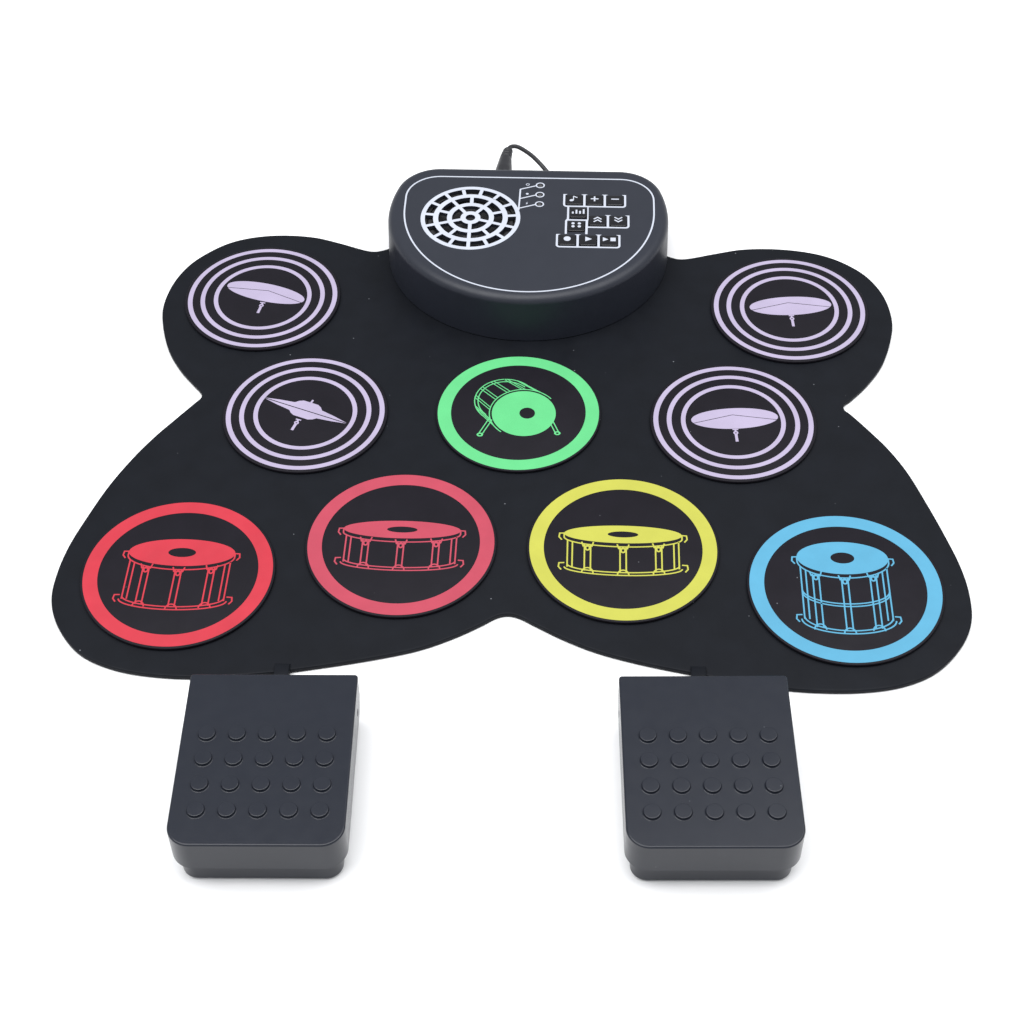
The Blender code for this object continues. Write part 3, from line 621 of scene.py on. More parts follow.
def front_exit(x, front):
    """The moulded block on the mat's front rim that a pedal's lead goes into."""
    rim = front + EXIT_STAND + 0.6
    side = [(front, 0), (rim, 0), (rim, MAT_TOP - 0.5), (rim + 3.5, MAT_TOP - 0.5),
            (rim + 3.5, MAT_TOP + 0.3), (rim + 1.1, EXIT_H)]
    side += arc((front + 1.6, EXIT_H - 1.6), 1.6, 1.6, 90, 180, 8)
    return block(side, x, EXIT_W / 2, 0.7,
                 lambda y, z, shrink: (max(y, front + shrink), min(z, EXIT_H - shrink)))


def build_mat():
    left = [(-x, y) for x, y in reversed(MAT_LEFT_HALF[1:-1])]
    loop = smooth_loop(MAT_RIGHT_HALF + left, MAT_STEPS)
    edge = inset(list(reversed(loop)), MAT_EDGE_IN)
    under = MAT_TOP - MAT_SKIN
    sections = [(MAT_RIM, under), (MAT_RIM, 0.12), (MAT_RIM - 0.12, 0.0), (0.4, 0.0), (0.12, 0.14),
                (0.0, 0.45), (0.0, 1.85), (0.08, 2.2), (0.28, 2.45), (0.6, 2.57), (1.1, MAT_TOP)]
    sheet = stacked(lambda depth: inset(edge, depth), sections)
    sheet = combined(sheet, "UNION", merged([front_exit(x, front) for x, front in FRONT_EXITS.values()]))
    solid("mat_sheet", sheet, "mat_silicone", "frame", "mat_top_sheet")


build_mat()


# ---- pads and their prints

def drum_picture(shape, z, half_width, head_half, head_y, foot_y, foot_half, lug_x, band=False):
    """A drum seen from a little above: a filled head, two hoops, a shell and its tension lugs."""
    line = 0.75
    hole = (half_width * 0.26, head_half * 0.34)
    ink_hoop(shape, (0, head_y), (half_width, head_half), hole, 96, z)
    shell = half_width * 0.94
    hoop_y = head_y - 2.4
    for drop, wide in ((hoop_y, half_width), (foot_y, shell + 1.4), (foot_y + 1.8, shell)):
        depth = head_half if drop == hoop_y else foot_half
        ink_line(shape, arc((0, drop), wide, depth, 180, 360, 48), line, z)
    for side in (-1, 1):
        ink_line(shape, [(side * half_width, head_y), (side * half_width, hoop_y)], line, z)
        for away in (0.0, 2.4):
            x = side * (shell - away)
            top = hoop_y - head_half * math.sqrt(max(0.0, 1 - (x / half_width) ** 2))
            ink_line(shape, [(x, top), (x, foot_y)], line, z)
    for x in (-lug_x, 0.0, lug_x):
        high = hoop_y - head_half * math.sqrt(1 - (x / half_width) ** 2)
        low = foot_y - foot_half * math.sqrt(1 - (x / shell) ** 2)
        for away in (-1.5, 1.5):
            ink_line(shape, [(x + away, high), (x + away, low + 1.5)], line, z)
        claw = [(x - 2.9, high + 1.6), (x - 2.1, high - 1.2), (x + 2.1, high - 1.2), (x + 2.9, high + 1.6)]
        ink_line(shape, claw, line, z)
        ink_hoop(shape, (x, high - 2.2), (1.5, 1.9), (0.6, 1.0), 20, z)
        ink_line(shape, arc((x, low), 2.8, 3.4, 0, 180, 12), line, z)
    for side in (-1, 1):
        for y, size in ((head_y - 1.5, 3.2), (foot_y + 1.0, 3.2)):
            base = side * (half_width - 0.4)
            hook = [(base, y + size * 0.5), (base + side * 2.6, y + size * 0.45),
                    (base + side * 2.9, y - size * 0.3), (base + side * 1.5, y - size * 0.9)]
            ink_line(shape, hook, line, z)
    if band:
        middle = (hoop_y + foot_y) / 2
        for drop in (0.0, 1.6):
            ink_line(shape, arc((0, middle - drop), shell, foot_half, 180, 360, 48), line, z)


def bass_drum_picture(shape, z):
    """A bass drum lying on its side: a filled front head, the shell behind it, and two spurs."""
    line = 0.6
    front, rear = Vector((2.9, -1.2)), Vector((-7.0, 8.0))
    head_r, rim_r = 16.8, 16.4
    ink_ring(shape, loop_points(front, head_r, head_r), loop_points(front + Vector((1.8, 0.2)), 4.1, 4.1), z)
    seen_from, seen_to = 47, 227
    for grow in (0.0, -1.8):
        ink_line(shape, arc(rear, rim_r + grow, rim_r + grow, seen_from, seen_to, 48), line, z)
    ink_line(shape, arc(front, head_r + 1.3, head_r + 1.3, seen_from - 8, seen_to + 4, 48), line, z)
    for turn, gap in ((seen_from, 0), (68, 1.5), (92, 1.8), (118, 1.8), (144, 1.8), (170, 1.8), (198, 1.8),
                      (seen_to, 0)):
        way = Vector((math.cos(math.radians(turn)), math.sin(math.radians(turn))))
        for shift in ((-gap / 2, gap / 2) if gap else (0,)):
            side = Vector((-way.y, way.x)) * shift
            ink_line(shape, [rear + way * rim_r + side, front + way * (head_r + 1.3) + side], line * 0.85, z)
    for top, foot in (((-14.4, -6.0), (-19.4, -17.6)), ((17.6, -7.2), (20.8, -15.4))):
        start, end = Vector(top), Vector(foot)
        across = (end - start).normalized().orthogonal() * 0.9
        for shift in (-1, 1):
            ink_line(shape, [start + across * shift, end + across * shift], line, z)
        ink_hoop(shape, end, (1.7, 1.4), (0.8, 0.6), 20, z)


def stand_picture(shape, z, top, foot):
    """The top of a cymbal's stand: a crossbar, a round clamp and the tube below it."""
    start, end = Vector(top), Vector(foot)
    along = (end - start).normalized()
    across = along.orthogonal()
    ink_line(shape, [start + across * 1.5, start - across * 1.5], 0.8, z)
    ink_line(shape, [start, start + along * 2.2], 1.0, z)
    ink_hoop(shape, start + along * 2.4, (1.3, 1.3), (0.5, 0.5), 20, z)
    ink_line(shape, [start + along * 3.4, end], 1.5, z)


def cymbal_picture(shape, z, centre, half_length, half_height, tilt, apex, stand):
    """One cymbal seen from above and to the side, on the top of its stand."""
    ink_prism(shape, loop_points(centre, half_length, half_height, 96, tilt), z)
    turn = math.radians(tilt)
    ends = [(centre[0] + side * 0.96 * half_length * math.cos(turn) + 0.3 * half_height * math.sin(turn),
             centre[1] + side * 0.96 * half_length * math.sin(turn) - 0.3 * half_height * math.cos(turn))
            for side in (-1, 1)]
    for end in ends:
        ink_line(shape, [end, apex], 0.3, z + 0.03, material_index=1)
    stand_picture(shape, z, *stand)


def hat_picture(shape, z, centre, half_length, tilt, stand):
    """Two closed cymbals seen from the side, with a bell above and below."""
    turn = math.radians(tilt)

    def spot(along, up):
        return (centre[0] + along * math.cos(turn) - up * math.sin(turn),
                centre[1] + along * math.sin(turn) + up * math.cos(turn))

    upper = [(-24, 0.1), (-16, 1.9), (-8, 3.2), (-6.4, 5.0), (-4.2, 6.2), (4.2, 6.2), (6.4, 5.0), (8, 3.2),
             (16, 1.9), (24, 0.1)]
    scale = half_length / 24
    for side in (1, -1):
        height = side * (1.0 if side > 0 else 0.86)
        outline = [spot(along * scale, height * (up + 0.2)) for along, up in upper]
        ink_prism(shape, outline if side < 0 else outline[::-1], z)
    ink_line(shape, [spot(0, 6), spot(0, 8.6)], 1.1, z)
    stand_picture(shape, z, *stand)


def ringed(shape, z, rings):
    for outer, width in rings:
        ink_hoop(shape, (0, 0), (outer, outer), (outer - width, outer - width), ROUND_SIDES, z)


DRUM_RINGS = [(46.0, 7.1)]     # each ring's outer radius and its width
SMALL_DRUM_RINGS = [(42.4, 7.0)]
CYMBAL_RINGS = [(41.7, 2.6), (34.7, 2.5), (27.3, 2.4)]
SNARE = (drum_picture, dict(half_width=29.0, head_half=5.8, head_y=8.6, foot_y=-13.2, foot_half=4.8,
                            lug_x=17.4))
TOM = (drum_picture, dict(half_width=26.2, head_half=8.7, head_y=12.6, foot_y=-17.6, foot_half=6.0,
                          lug_x=16.0))
FLOOR_TOM = (drum_picture, dict(half_width=22.2, head_half=10.4, head_y=18.4, foot_y=-20.4, foot_half=8.4,
                                lug_x=13.8, band=True))
BASS = (bass_drum_picture, {})
CRASH = (cymbal_picture, dict(centre=(1.2, 3.8), half_length=23.2, half_height=7.3, tilt=-15.4,
                              apex=(2.6, 5.3), stand=((0.6, -4.9), (-1.0, -13.6))))
RIDE = (cymbal_picture, dict(centre=(0.8, 2.2), half_length=22.8, half_height=7.6, tilt=5.2,
                             apex=(-0.3, 4.8), stand=((0.8, -6.0), (1.4, -14.8))))
HAT = (hat_picture, dict(centre=(-0.1, 1.5), half_length=24.2, tilt=-21.5,
                         stand=((-3.0, -5.4), (-5.6, -13.2))))

PADS = {                       # centre, radius, ink, rings, picture
    "drum_pad_left_outer": ((-161.3, -59.8), DRUM_R, "print_red", DRUM_RINGS, TOM),
    "drum_pad_left_inner": ((-54.5, -37.4), DRUM_R, "print_rose", DRUM_RINGS, SNARE),
    "drum_pad_right_inner": ((54.7, -37.3), DRUM_R, "print_yellow", DRUM_RINGS, SNARE),
    "drum_pad_right_outer": ((161.4, -59.2), DRUM_R, "print_blue", DRUM_RINGS, FLOOR_TOM),
    "drum_pad_centre": ((0.0, 56.2), SMALL_R, "print_green", SMALL_DRUM_RINGS, BASS),
    "cymbal_pad_left_front": ((-112.0, 52.2), SMALL_R, "print_lavender", CYMBAL_RINGS, HAT),
    "cymbal_pad_right_front": ((112.5, 52.3), SMALL_R, "print_lavender", CYMBAL_RINGS, RIDE),
    "cymbal_pad_left_rear": ((-146.4, 143.6), SMALL_R, "print_lavender", CYMBAL_RINGS, CRASH),
    "cymbal_pad_right_rear": ((147.4, 142.3), SMALL_R, "print_lavender", CYMBAL_RINGS, RIDE)}


def build_pads():
    for name, (centre, radius, ink, rings, (picture, sizes)) in PADS.items():
        place = shifted(*centre)
        profile = [(radius - 0.5, PAD_UNDER), (radius - 0.15, PAD_UNDER + 0.08), (radius, PAD_UNDER + 0.25),
                   (radius, PAD_TOP - 0.45), (radius - 0.07, PAD_TOP - 0.22), (radius - 0.22, PAD_TOP - 0.07),
                   (radius - 0.45, PAD_TOP)]
        disc = moved(loft(turned_z(profile, ROUND_SIDES)), place)
        solid(name + "_disc", disc, "pad_silicone", name, name)
        art = bmesh.new()
        ringed(art, PAD_TOP, rings)
        picture(art, PAD_TOP, **sizes)
        bmesh.ops.recalc_face_normals(art, faces=art.faces)
        piece(name + "_print", moved(art, place), [ink, "pad_silicone"], name)


build_pads()


# ---- sound module

def case_outline(depth):
    """The module's outline, moved inwards by depth: a half ellipse at the front, rounded corners behind."""
    side_steps, corner_steps, arc_steps = 8, 22, 120
    side_r, corner_r = CASE_R - depth, CASE_CORNER_R - depth
    back = CASE_BACK - CASE_CORNER_R - CASE_Y
    across = math.sqrt((CASE_R - CASE_CORNER_R) ** 2 - back ** 2)
    join = math.degrees(math.atan2(back, across))
    right = arc((0, 0), side_r, side_r, 0, join, side_steps)[:-1]
    right += arc((across, back), corner_r, corner_r, join, 90, corner_steps)
    loop = right + [(-x, y) for x, y in reversed(right)]
    loop += arc((0, 0), side_r, CASE_FRONT - depth, 180, 360, arc_steps)[1:-1]
    return [(CASE_X + x, CASE_Y + y) for x, y in loop]


def ring_cell(inner_r, outer_r, start, end):
    outline = []
    steps = 6
    for radius, forward in ((outer_r, True), (inner_r, False)):
        half_spoke = math.asin(SPOKE / 2 / radius)
        first, last = start + half_spoke, end - half_spoke
        along = [first + (last - first) * i / steps for i in range(steps + 1)]
        for turn in along if forward else reversed(along):
            outline.append((GRILLE_X + radius * math.cos(turn), GRILLE_Y + radius * math.sin(turn)))
    return outline


def grille_outlines():
    outlines = [[(x, y) for x, y, _ in circle(GRILLE_CENTRE_R, 0, 32, (GRILLE_X, GRILLE_Y))]]
    for inner_r, outer_r, count in GRILLE_CELLS:
        width = 2 * math.pi / count
        for i in range(count):
            start = -math.pi / 2 + i * width
            outlines.append(ring_cell(inner_r, outer_r, start, start + width))
    return outlines


def rounded_rect(width, depth, radius, centre, steps=6):
    points = []
    for sx, sy, start in ((1, 1, 0), (-1, 1, 90), (-1, -1, 180), (1, -1, 270)):
        corner = (centre[0] + sx * (width / 2 - radius), centre[1] + sy * (depth / 2 - radius))
        points += arc(corner, radius, radius, start, start + 90, steps)
    return points


def standing_slot(half_width, half_height, radius, x, y_low, y_high):
    """A rounded slot through the back wall."""
    outline = rounded_rect(2 * half_width, 2 * half_height, radius, (x, JACK_Z), 5)
    return loft([[(px, y, pz) for px, pz in outline] for y in (y_low, y_high)])


def build_case():
    rise, run, low_edge = 4.5, 4.9, 0.7
    profile = [(4.8, ROOF_UNDER), (3.1, 28.8), (2.0, CASE_FLOOR + 0.3), (1.7, CASE_FLOOR),
               (0.35, CASE_FLOOR), (0.1, CASE_FLOOR + 0.15), (0.0, CASE_FLOOR + 0.5), (0.3, 15.0)]
    for i in range(13):
        turn = math.radians(90 * i / 12)
        profile.append((low_edge + run * (1 - math.cos(turn)), CASE_TOP - rise * (1 - math.sin(turn))))
    shell = stacked(case_outline, profile)
    below, above = ROOF_UNDER - 1, CASE_TOP + 1
    cuts = [prism(outline, below, above) for outline in grille_outlines()]
    for spot in KEYS.values():
        cuts.append(prism(rounded_rect(KEY_W + KEY_PLAY, KEY_D + KEY_PLAY, 1.2, spot), below, above))
    for spot in LEDS:
        cuts.append(loft(turned_z([(1.7, below), (1.7, above)], 24, spot)))
    start, end = JACK_FACE - 1, CASE_BACK + 1
    for x in (PEDAL_JACK_X, PHONE_JACK_X):
        cuts.append(loft(turned_y([(3.2, start), (3.2, end)], 40, x, JACK_Z)))
    cuts.append(standing_slot(4.8, 2.0, 1.9, CHARGE_X, start, end))
    cuts.append(standing_slot(3.6, 1.9, 0.4, SWITCH_X, start, end))
    shell = combined(shell, "DIFFERENCE", merged(cuts))
    solid("case_shell", shell, "case_plastic", "frame", "module_top_case", weighted=True)


BORDER_WIDTH = 0.9


def border_line():
    """The white D-shaped line round the case's top."""
    centre, radius, back, corner = (1.5, 190.0), 70.3, 219.2, 19.0
    across = radius - corner
    points = arc((centre[0] + across, back - corner), corner, corner, 0, 90, 16)
    points += arc((centre[0] - across, back - corner), corner, corner, 90, 180, 16)
    points += arc(centre, radius, radius, 180, 360, 90)
    return points


BAND = 1.15                    # width of the white bands round the keys
BAND_SIDE = KEY_W / 2 + 0.98   # from a key's middle to the middle of a band
BAND_FRONT = KEY_D / 2 + 0.93
BAND_REAR = KEY_D / 2 + 0.5


def row_print(art, z, columns, y, start=None):
    """White bands round one row of keys: open at the rear, with flared ends between the keys."""
    left, right = columns[0] - BAND_SIDE, columns[-1] + BAND_SIDE
    front, rear, corner = y - BAND_FRONT, y + BAND_REAR, 1.6
    if start is None:
        line = [(left, rear)] + arc((left + corner, front + corner), corner, corner, 180, 270, 6)
    else:
        line = [(start, front)]
    line += arc((right - corner, front + corner), corner, corner, 270, 360, 6) + [(right, rear)]
    ink_line(art, line, BAND, z)
    half = BAND / 2
    flares = [(right, -1.9, half)]
    if start is None:
        flares.append((left, -half, 1.9))
    for first, second in zip(columns, columns[1:]):
        middle = (first + second) / 2
        ink_line(art, [(middle, front + 0.3), (middle, rear)], 1.3, z)
        flares.append((middle, -1.8, 1.8))
    for x, low, high in flares:
        ink_prism(art, [(x - half, rear - 0.1), (x + half, rear - 0.1), (x + high, rear + 0.7),
                        (x + low, rear + 0.7)], z)


def keypad_print(art, z):
    """The bands round all ten keys: three rows of them, and the column between the first and last row."""
    rhythm, style, tempo = KEYS["key_rhythm"], KEYS["key_style"], KEYS["key_tempo_up"]
    volume, record = KEYS["key_volume_up"], KEYS["key_record"]
    row_print(art, z, [KEYS[key][0] for key in ("key_demo", "key_volume_up", "key_volume_down")], volume[1])
    row_print(art, z, [KEYS[key][0] for key in ("key_record", "key_play", "key_start_stop")], record[1])
    inner = (rhythm[0] + tempo[0]) / 2
    row_print(art, z, [tempo[0], KEYS["key_tempo_down"][0]], tempo[1], start=inner - 0.5)
    high, low = volume[1] - BAND_FRONT, record[1] + BAND_REAR + 1.0
    between = (rhythm[1] + style[1]) / 2
    left = [(rhythm[0] - BAND_SIDE, high), (rhythm[0] - BAND_SIDE, between + 1),
            (style[0] - BAND_SIDE, between - 1), (style[0] - BAND_SIDE, low)]
    ink_line(art, left, BAND, z)
    ink_line(art, [(inner, high), (inner, between)], 0.75, z)
    ink_line(art, [(inner - 0.5, between + 0.3), (inner - 0.7, low)], 1.3, z)
    ink_line(art, [(rhythm[0] - BAND_SIDE - 0.4, between), (inner, between)], 1.1, z)


def build_case_print():
    art = bmesh.new()
    z = CASE_TOP
    ink_line(art, border_line(), BORDER_WIDTH, z, closed=True)
    bands = [(GRILLE_PRINT_R, 25.6), (21.0, 18.1), (13.2, 10.4), (5.6, GRILLE_CENTRE_R)]
    for outer, inner in bands:
        ink_hoop(art, (GRILLE_X, GRILLE_Y), (outer, outer), (inner, inner), 120, z)
    for inner_r, outer_r, count in GRILLE_CELLS:
        for i in range(count):
            turn = -math.pi / 2 + 2 * math.pi * i / count
            way = (math.cos(turn), math.sin(turn))
            ends = [(GRILLE_X + r * way[0], GRILLE_Y + r * way[1]) for r in (inner_r - 0.2, outer_r + 0.2)]
            ink_line(art, ends, SPOKE, z)
    for x, y in LEDS:
        ink_hoop(art, (x, y), (2.6, 2.5), (1.85, 1.8), 32, z)
        ink_line(art, [(-4.1, y - 3.9), (x - 2.5, y - 0.5)], 0.8, z)
    ink_line(art, [(-4.4, LEDS[2][1] - 5.6), (-4.0, LEDS[0][1] - 3.6)], 0.9, z)
    keypad_print(art, z)
    power, dot, bolt = ((x - 7.2, y + 0.6) for x, y in LEDS)
    ink_line(art, arc(power, 0.9, 0.9, 120, 420, 20), 0.35, z)
    ink_line(art, [(power[0], power[1] + 0.2), (power[0], power[1] + 1.2)], 0.35, z)
    ink_prism(art, loop_points(dot, 0.8, 0.8, 20), z)
    ink_prism(art, [(bolt[0] + dx, bolt[1] + dy) for dx, dy in
                    ((0.4, 1.2), (-0.7, -0.1), (-0.05, -0.1), (-0.4, -1.2), (0.7, 0.2), (0.05, 0.2))], z)
    bmesh.ops.recalc_face_normals(art, faces=art.faces)
    piece("case_print", art, ["print_white"], "frame")


SYMBOL_SCALE = 1.45
SYMBOL_BACK = 0.8              # from a key's middle back to its symbol's
SYMBOLS = {                    # discs as loop_points takes them, lines as (width, points), filled outlines
    "note": {"discs": [((-1.0, -1.1), 0.85, 0.65, 20, 20)],
             "lines": [(0.35, [(-0.3, -1.0), (-0.3, 1.5)]), (0.5, [(-0.3, 1.4), (1.2, 0.6)])]},
    "minus": {"lines": [(0.6, [(-1.5, 0), (1.5, 0)])]},
    "plus": {"lines": [(0.6, [(-1.5, 0), (1.5, 0)]), (0.6, [(0, -1.5), (0, 1.5)])]},
    "bars": {"lines": [(0.7, [(-2.1 + 1.4 * i, -1.4), (-2.1 + 1.4 * i, -1.4 + high)])
                       for i, high in enumerate((1.2, 2.4, 1.7, 2.8))]},
    "dots": {"discs": [((x, y), 0.65, 0.65, 16) for y in (-0.9, 0.9) for x in (-1.2, 1.2)]},
    "up": {"lines": [(0.55, [(-1.5, y - 0.6), (0, y + 0.6), (1.5, y - 0.6)]) for y in (-0.9, 0.7)]},
    "down": {"lines": [(0.55, [(-1.5, y + 0.6), (0, y - 0.6), (1.5, y + 0.6)]) for y in (0.9, -0.7)]},
    "disc": {"discs": [((0, 0), 1.35, 1.35, 32)]},
    "play": {"outlines": [[(-1.1, -1.4), (1.5, 0), (-1.1, 1.4)]]},
    "play_stop": {"outlines": [[(-2.4, -1.2), (-0.3, 0), (-2.4, 1.2)],
                               rectangle(0.5, 2.5, -1.05, 1.05)]}}
KEY_SYMBOLS = {
    "key_demo": "note", "key_volume_up": "plus", "key_volume_down": "minus", "key_rhythm": "bars",
    "key_style": "dots", "key_tempo_up": "up", "key_tempo_down": "down", "key_record": "disc",
    "key_play": "play", "key_start_stop": "play_stop"}


def draw_symbol(art, z, discs=(), lines=(), outlines=()):
    for disc in discs:
        ink_prism(art, loop_points(*disc), z)
    for width, points in lines:
        ink_line(art, points, width, z)
    for outline in outlines:
        ink_prism(art, outline, z)


def build_keys():
    for name, (x, y) in KEYS.items():
        profile = [(0.15, KEY_UNDER), (0.0, KEY_UNDER + 0.15), (0.0, KEY_TOP - 0.85), (0.05, KEY_TOP - 0.5),
                   (0.2, KEY_TOP - 0.22), (0.45, KEY_TOP - 0.06), (0.8, KEY_TOP)]
        rings = [upright(rounded_rect(KEY_W - 2 * d, KEY_D - 2 * d, 1.15 - d, (x, y)), z) for d, z in profile]
        solid(name + "_cap", loft(rings), "key_plastic", name, name)
        art = bmesh.new()
        draw_symbol(art, KEY_TOP, **SYMBOLS[KEY_SYMBOLS[name]])
        moved(art, shifted(x, y + SYMBOL_BACK) @ Matrix.Diagonal((SYMBOL_SCALE, SYMBOL_SCALE, 1, 1)))
        bmesh.ops.recalc_face_normals(art, faces=art.faces)
        piece(name + "_symbol", art, ["print_white"], name)


def build_lights():
    floor, tip = box_heights("led_light_guide")
    bar_top = floor + 1.7
    guide = prism(box_outline("led_light_guide"), floor, bar_top)
    posts = [loft(turned_z([(1.35, bar_top - 0.6), (1.35, tip - 0.5), (1.25, tip - 0.22), (0.95, tip - 0.06),
                            (0.5, tip)], 24, spot)) for spot in LEDS]
    guide = combined(guide, "UNION", merged(posts))
    piece("light_guide", guide, ["smoked_guide"], "frame", ["led_light_guide"])


def build_speaker():
    cone = [(3.0, 20.6), (5.0, 20.2), (6.4, 20.4), (21.0, 27.7), (21.4, 28.6), (22.2, 29.2), (23.2, 29.2),
            (23.9, 28.8), (23.9, 29.2), (23.4, 29.4), (22.2, 29.4), (21.2, 28.9), (20.6, 28.2), (8.2, 22.2),
            (7.0, 22.4), (5.4, 23.5), (3.2, 24.3), (1.0, 24.6)]
    shape = loft(turned_z(cone, 96, (GRILLE_X, GRILLE_Y)))
    solid("speaker_diaphragm", shape, "cone_paper", "speaker_cone", "speaker_cone")


def build_sockets():
    for name, x in (("pedal_jack", PEDAL_JACK_X), ("headphone_jack", PHONE_JACK_X)):
        body = prism(box_outline(name), *box_heights(name))
        bore = loft(turned_y([(2.1, JACK_FACE - 9.5), (2.1, JACK_FACE + 5)], 40, x, JACK_Z))
        body = combined(body, "DIFFERENCE", bore)
        solid(name + "_body", body, "jack_plastic", "frame", name)
        collar = [(2.2, JACK_FACE + 0.05), (2.9, JACK_FACE + 0.05), (2.9, JACK_FACE + 0.7),
                  (2.7, JACK_FACE + 0.95), (2.35, JACK_FACE + 0.95), (2.2, JACK_FACE + 0.75)]
        collar = loft(turned_y(collar, 48, x, JACK_Z), closed=True)
        solid(name + "_collar", collar, "steel", "frame")
    section = rectangle(CHARGE_X - 2.9, CHARGE_X + 2.9, JACK_Z - 0.35, JACK_Z + 0.35)
    tongue = loft([[(x, y, z) for x, z in section] for y in (JACK_FACE - 7.3, JACK_FACE - 1.2)])
    solid("charge_socket_tongue", tongue, "jack_plastic", "frame")

    low, high = (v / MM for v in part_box("power_switch_knob"))
    outline = [(low.x, low.y), (high.x, low.y), (high.x, high.y - 0.4)]
    ridges = 4
    pitch = (high.x - low.x) / ridges
    for i in range(ridges):
        right = high.x - i * pitch
        outline += [(right - 0.12 * pitch, high.y - 0.02), (right - 0.58 * pitch, high.y - 0.02),
                    (right - 0.7 * pitch, high.y - 0.5), (right - 0.95 * pitch, high.y - 0.5)]
    outline.append((low.x, high.y - 0.5))
    knob = loft([upright(outline, z) for z in (low.z, high.z)])
    solid("power_switch_slider", knob, "key_plastic", "power_switch_knob", "power_switch_knob")


def build_plug():
    profile = [(PLUG_PIN_R - 0.5, JACK_FACE - 8.5), (PLUG_PIN_R, JACK_FACE - 7.8), (PLUG_PIN_R, PLUG_START),
               (PLUG_R - 0.35, PLUG_START), (PLUG_R, PLUG_START + 0.35), (PLUG_R, PLUG_START + 4.0),
               (PLUG_R - 0.2, PLUG_START + 4.2), (PLUG_R - 0.2, PLUG_START + 4.6),
               (PLUG_R, PLUG_START + 4.8), (PLUG_R, PLUG_BODY_END - 1.5),
               (PLUG_R - 0.08, PLUG_BODY_END), (PLUG_WAIST_R + 0.06, PLUG_WAIST)]
    profile += ribbed(PLUG_WAIST_R - 0.1, PLUG_TIP_R + 0.1, PLUG_WAIST, PLUG_TIP - 0.4, PLUG_RIBS, 0.3)
    profile += [(PLUG_TIP_R - 0.1, PLUG_TIP - 0.2), (PLUG_TIP_R - 0.5, PLUG_TIP)]
    length = PLUG_TIP - PLUG_BODY_END
    rings = [[(x + PLUG_BEND * max(0.0, (y - PLUG_BODY_END) / length) ** 2, y, z) for x, y, z in ring]
             for ring in turned_y(profile, 48, PEDAL_JACK_X, JACK_Z)]
    solid("plug_moulding", loft(rings), "plug_plastic", "frame", "pedal_plug")


def build_rear_gland():
    tongue, heel = MAT_TOP - 0.4, 5.6
    tab_edge = MAT_RIGHT_HALF[0][1] + GAP
    foot = CASE_BACK + 0.8
    side = [(tab_edge, 0), (REAR_GLAND_Y - 0.3, 0), (REAR_GLAND_Y, 0.3), (REAR_GLAND_Y, heel - 1.6)]
    side += arc((REAR_GLAND_Y - 1.6, heel - 1.6), 1.6, 1.6, 0, 90, 8)[1:]
    side += [(foot + 0.5, heel), (foot + 0.15, heel - 0.15), (foot, heel - 0.5), (foot, tongue),
             (tab_edge, tongue)]
    gland = block(side, REAR_GLAND_X, 5.0, 0.5,
                  lambda y, z, shrink: (min(y, REAR_GLAND_Y - shrink), min(z, heel - shrink)))
    solid("rear_gland_block", gland, "lead_rubber", "frame", "mat_rear_gland")


build_case()
build_case_print()
build_keys()
build_lights()
build_speaker()
build_sockets()
build_plug()
build_rear_gland()


# ---- foot pedals

def pedal_outline(depth):
    front_steps, rear_steps = 14, 5
    front, rear = 10.0 - depth, max(1.5 - depth / 2, 0.4)
    side, start, end = PEDAL_W / 2 - depth, depth, PEDAL_D - depth
    corners = [(side - front, start + front, front, -90, front_steps),
               (side - rear, end - rear, rear, 0, rear_steps),
               (-side + rear, end - rear, rear, 90, rear_steps),
               (-side + front, start + front, front, 180, front_steps)]
    points = []
    for x, y, radius, first, steps in corners:
        points += arc((x, y), radius, radius, first, first + 90, steps)
    return points


def cross_bar(radius, half_length, chamfer=0.0):
    """A round bar along the hinge's axis."""
    profile = [(-half_length, radius), (half_length, radius)]
    if chamfer:
        profile = [(-half_length, radius - chamfer), (-half_length + chamfer, radius),
                   (half_length - chamfer, radius), (half_length, radius - chamfer)]
    return loft([[(x, HINGE_Y + r * math.cos(t), HINGE_Z + r * math.sin(t)) for t in turns(32)]
                 for x, r in profile])


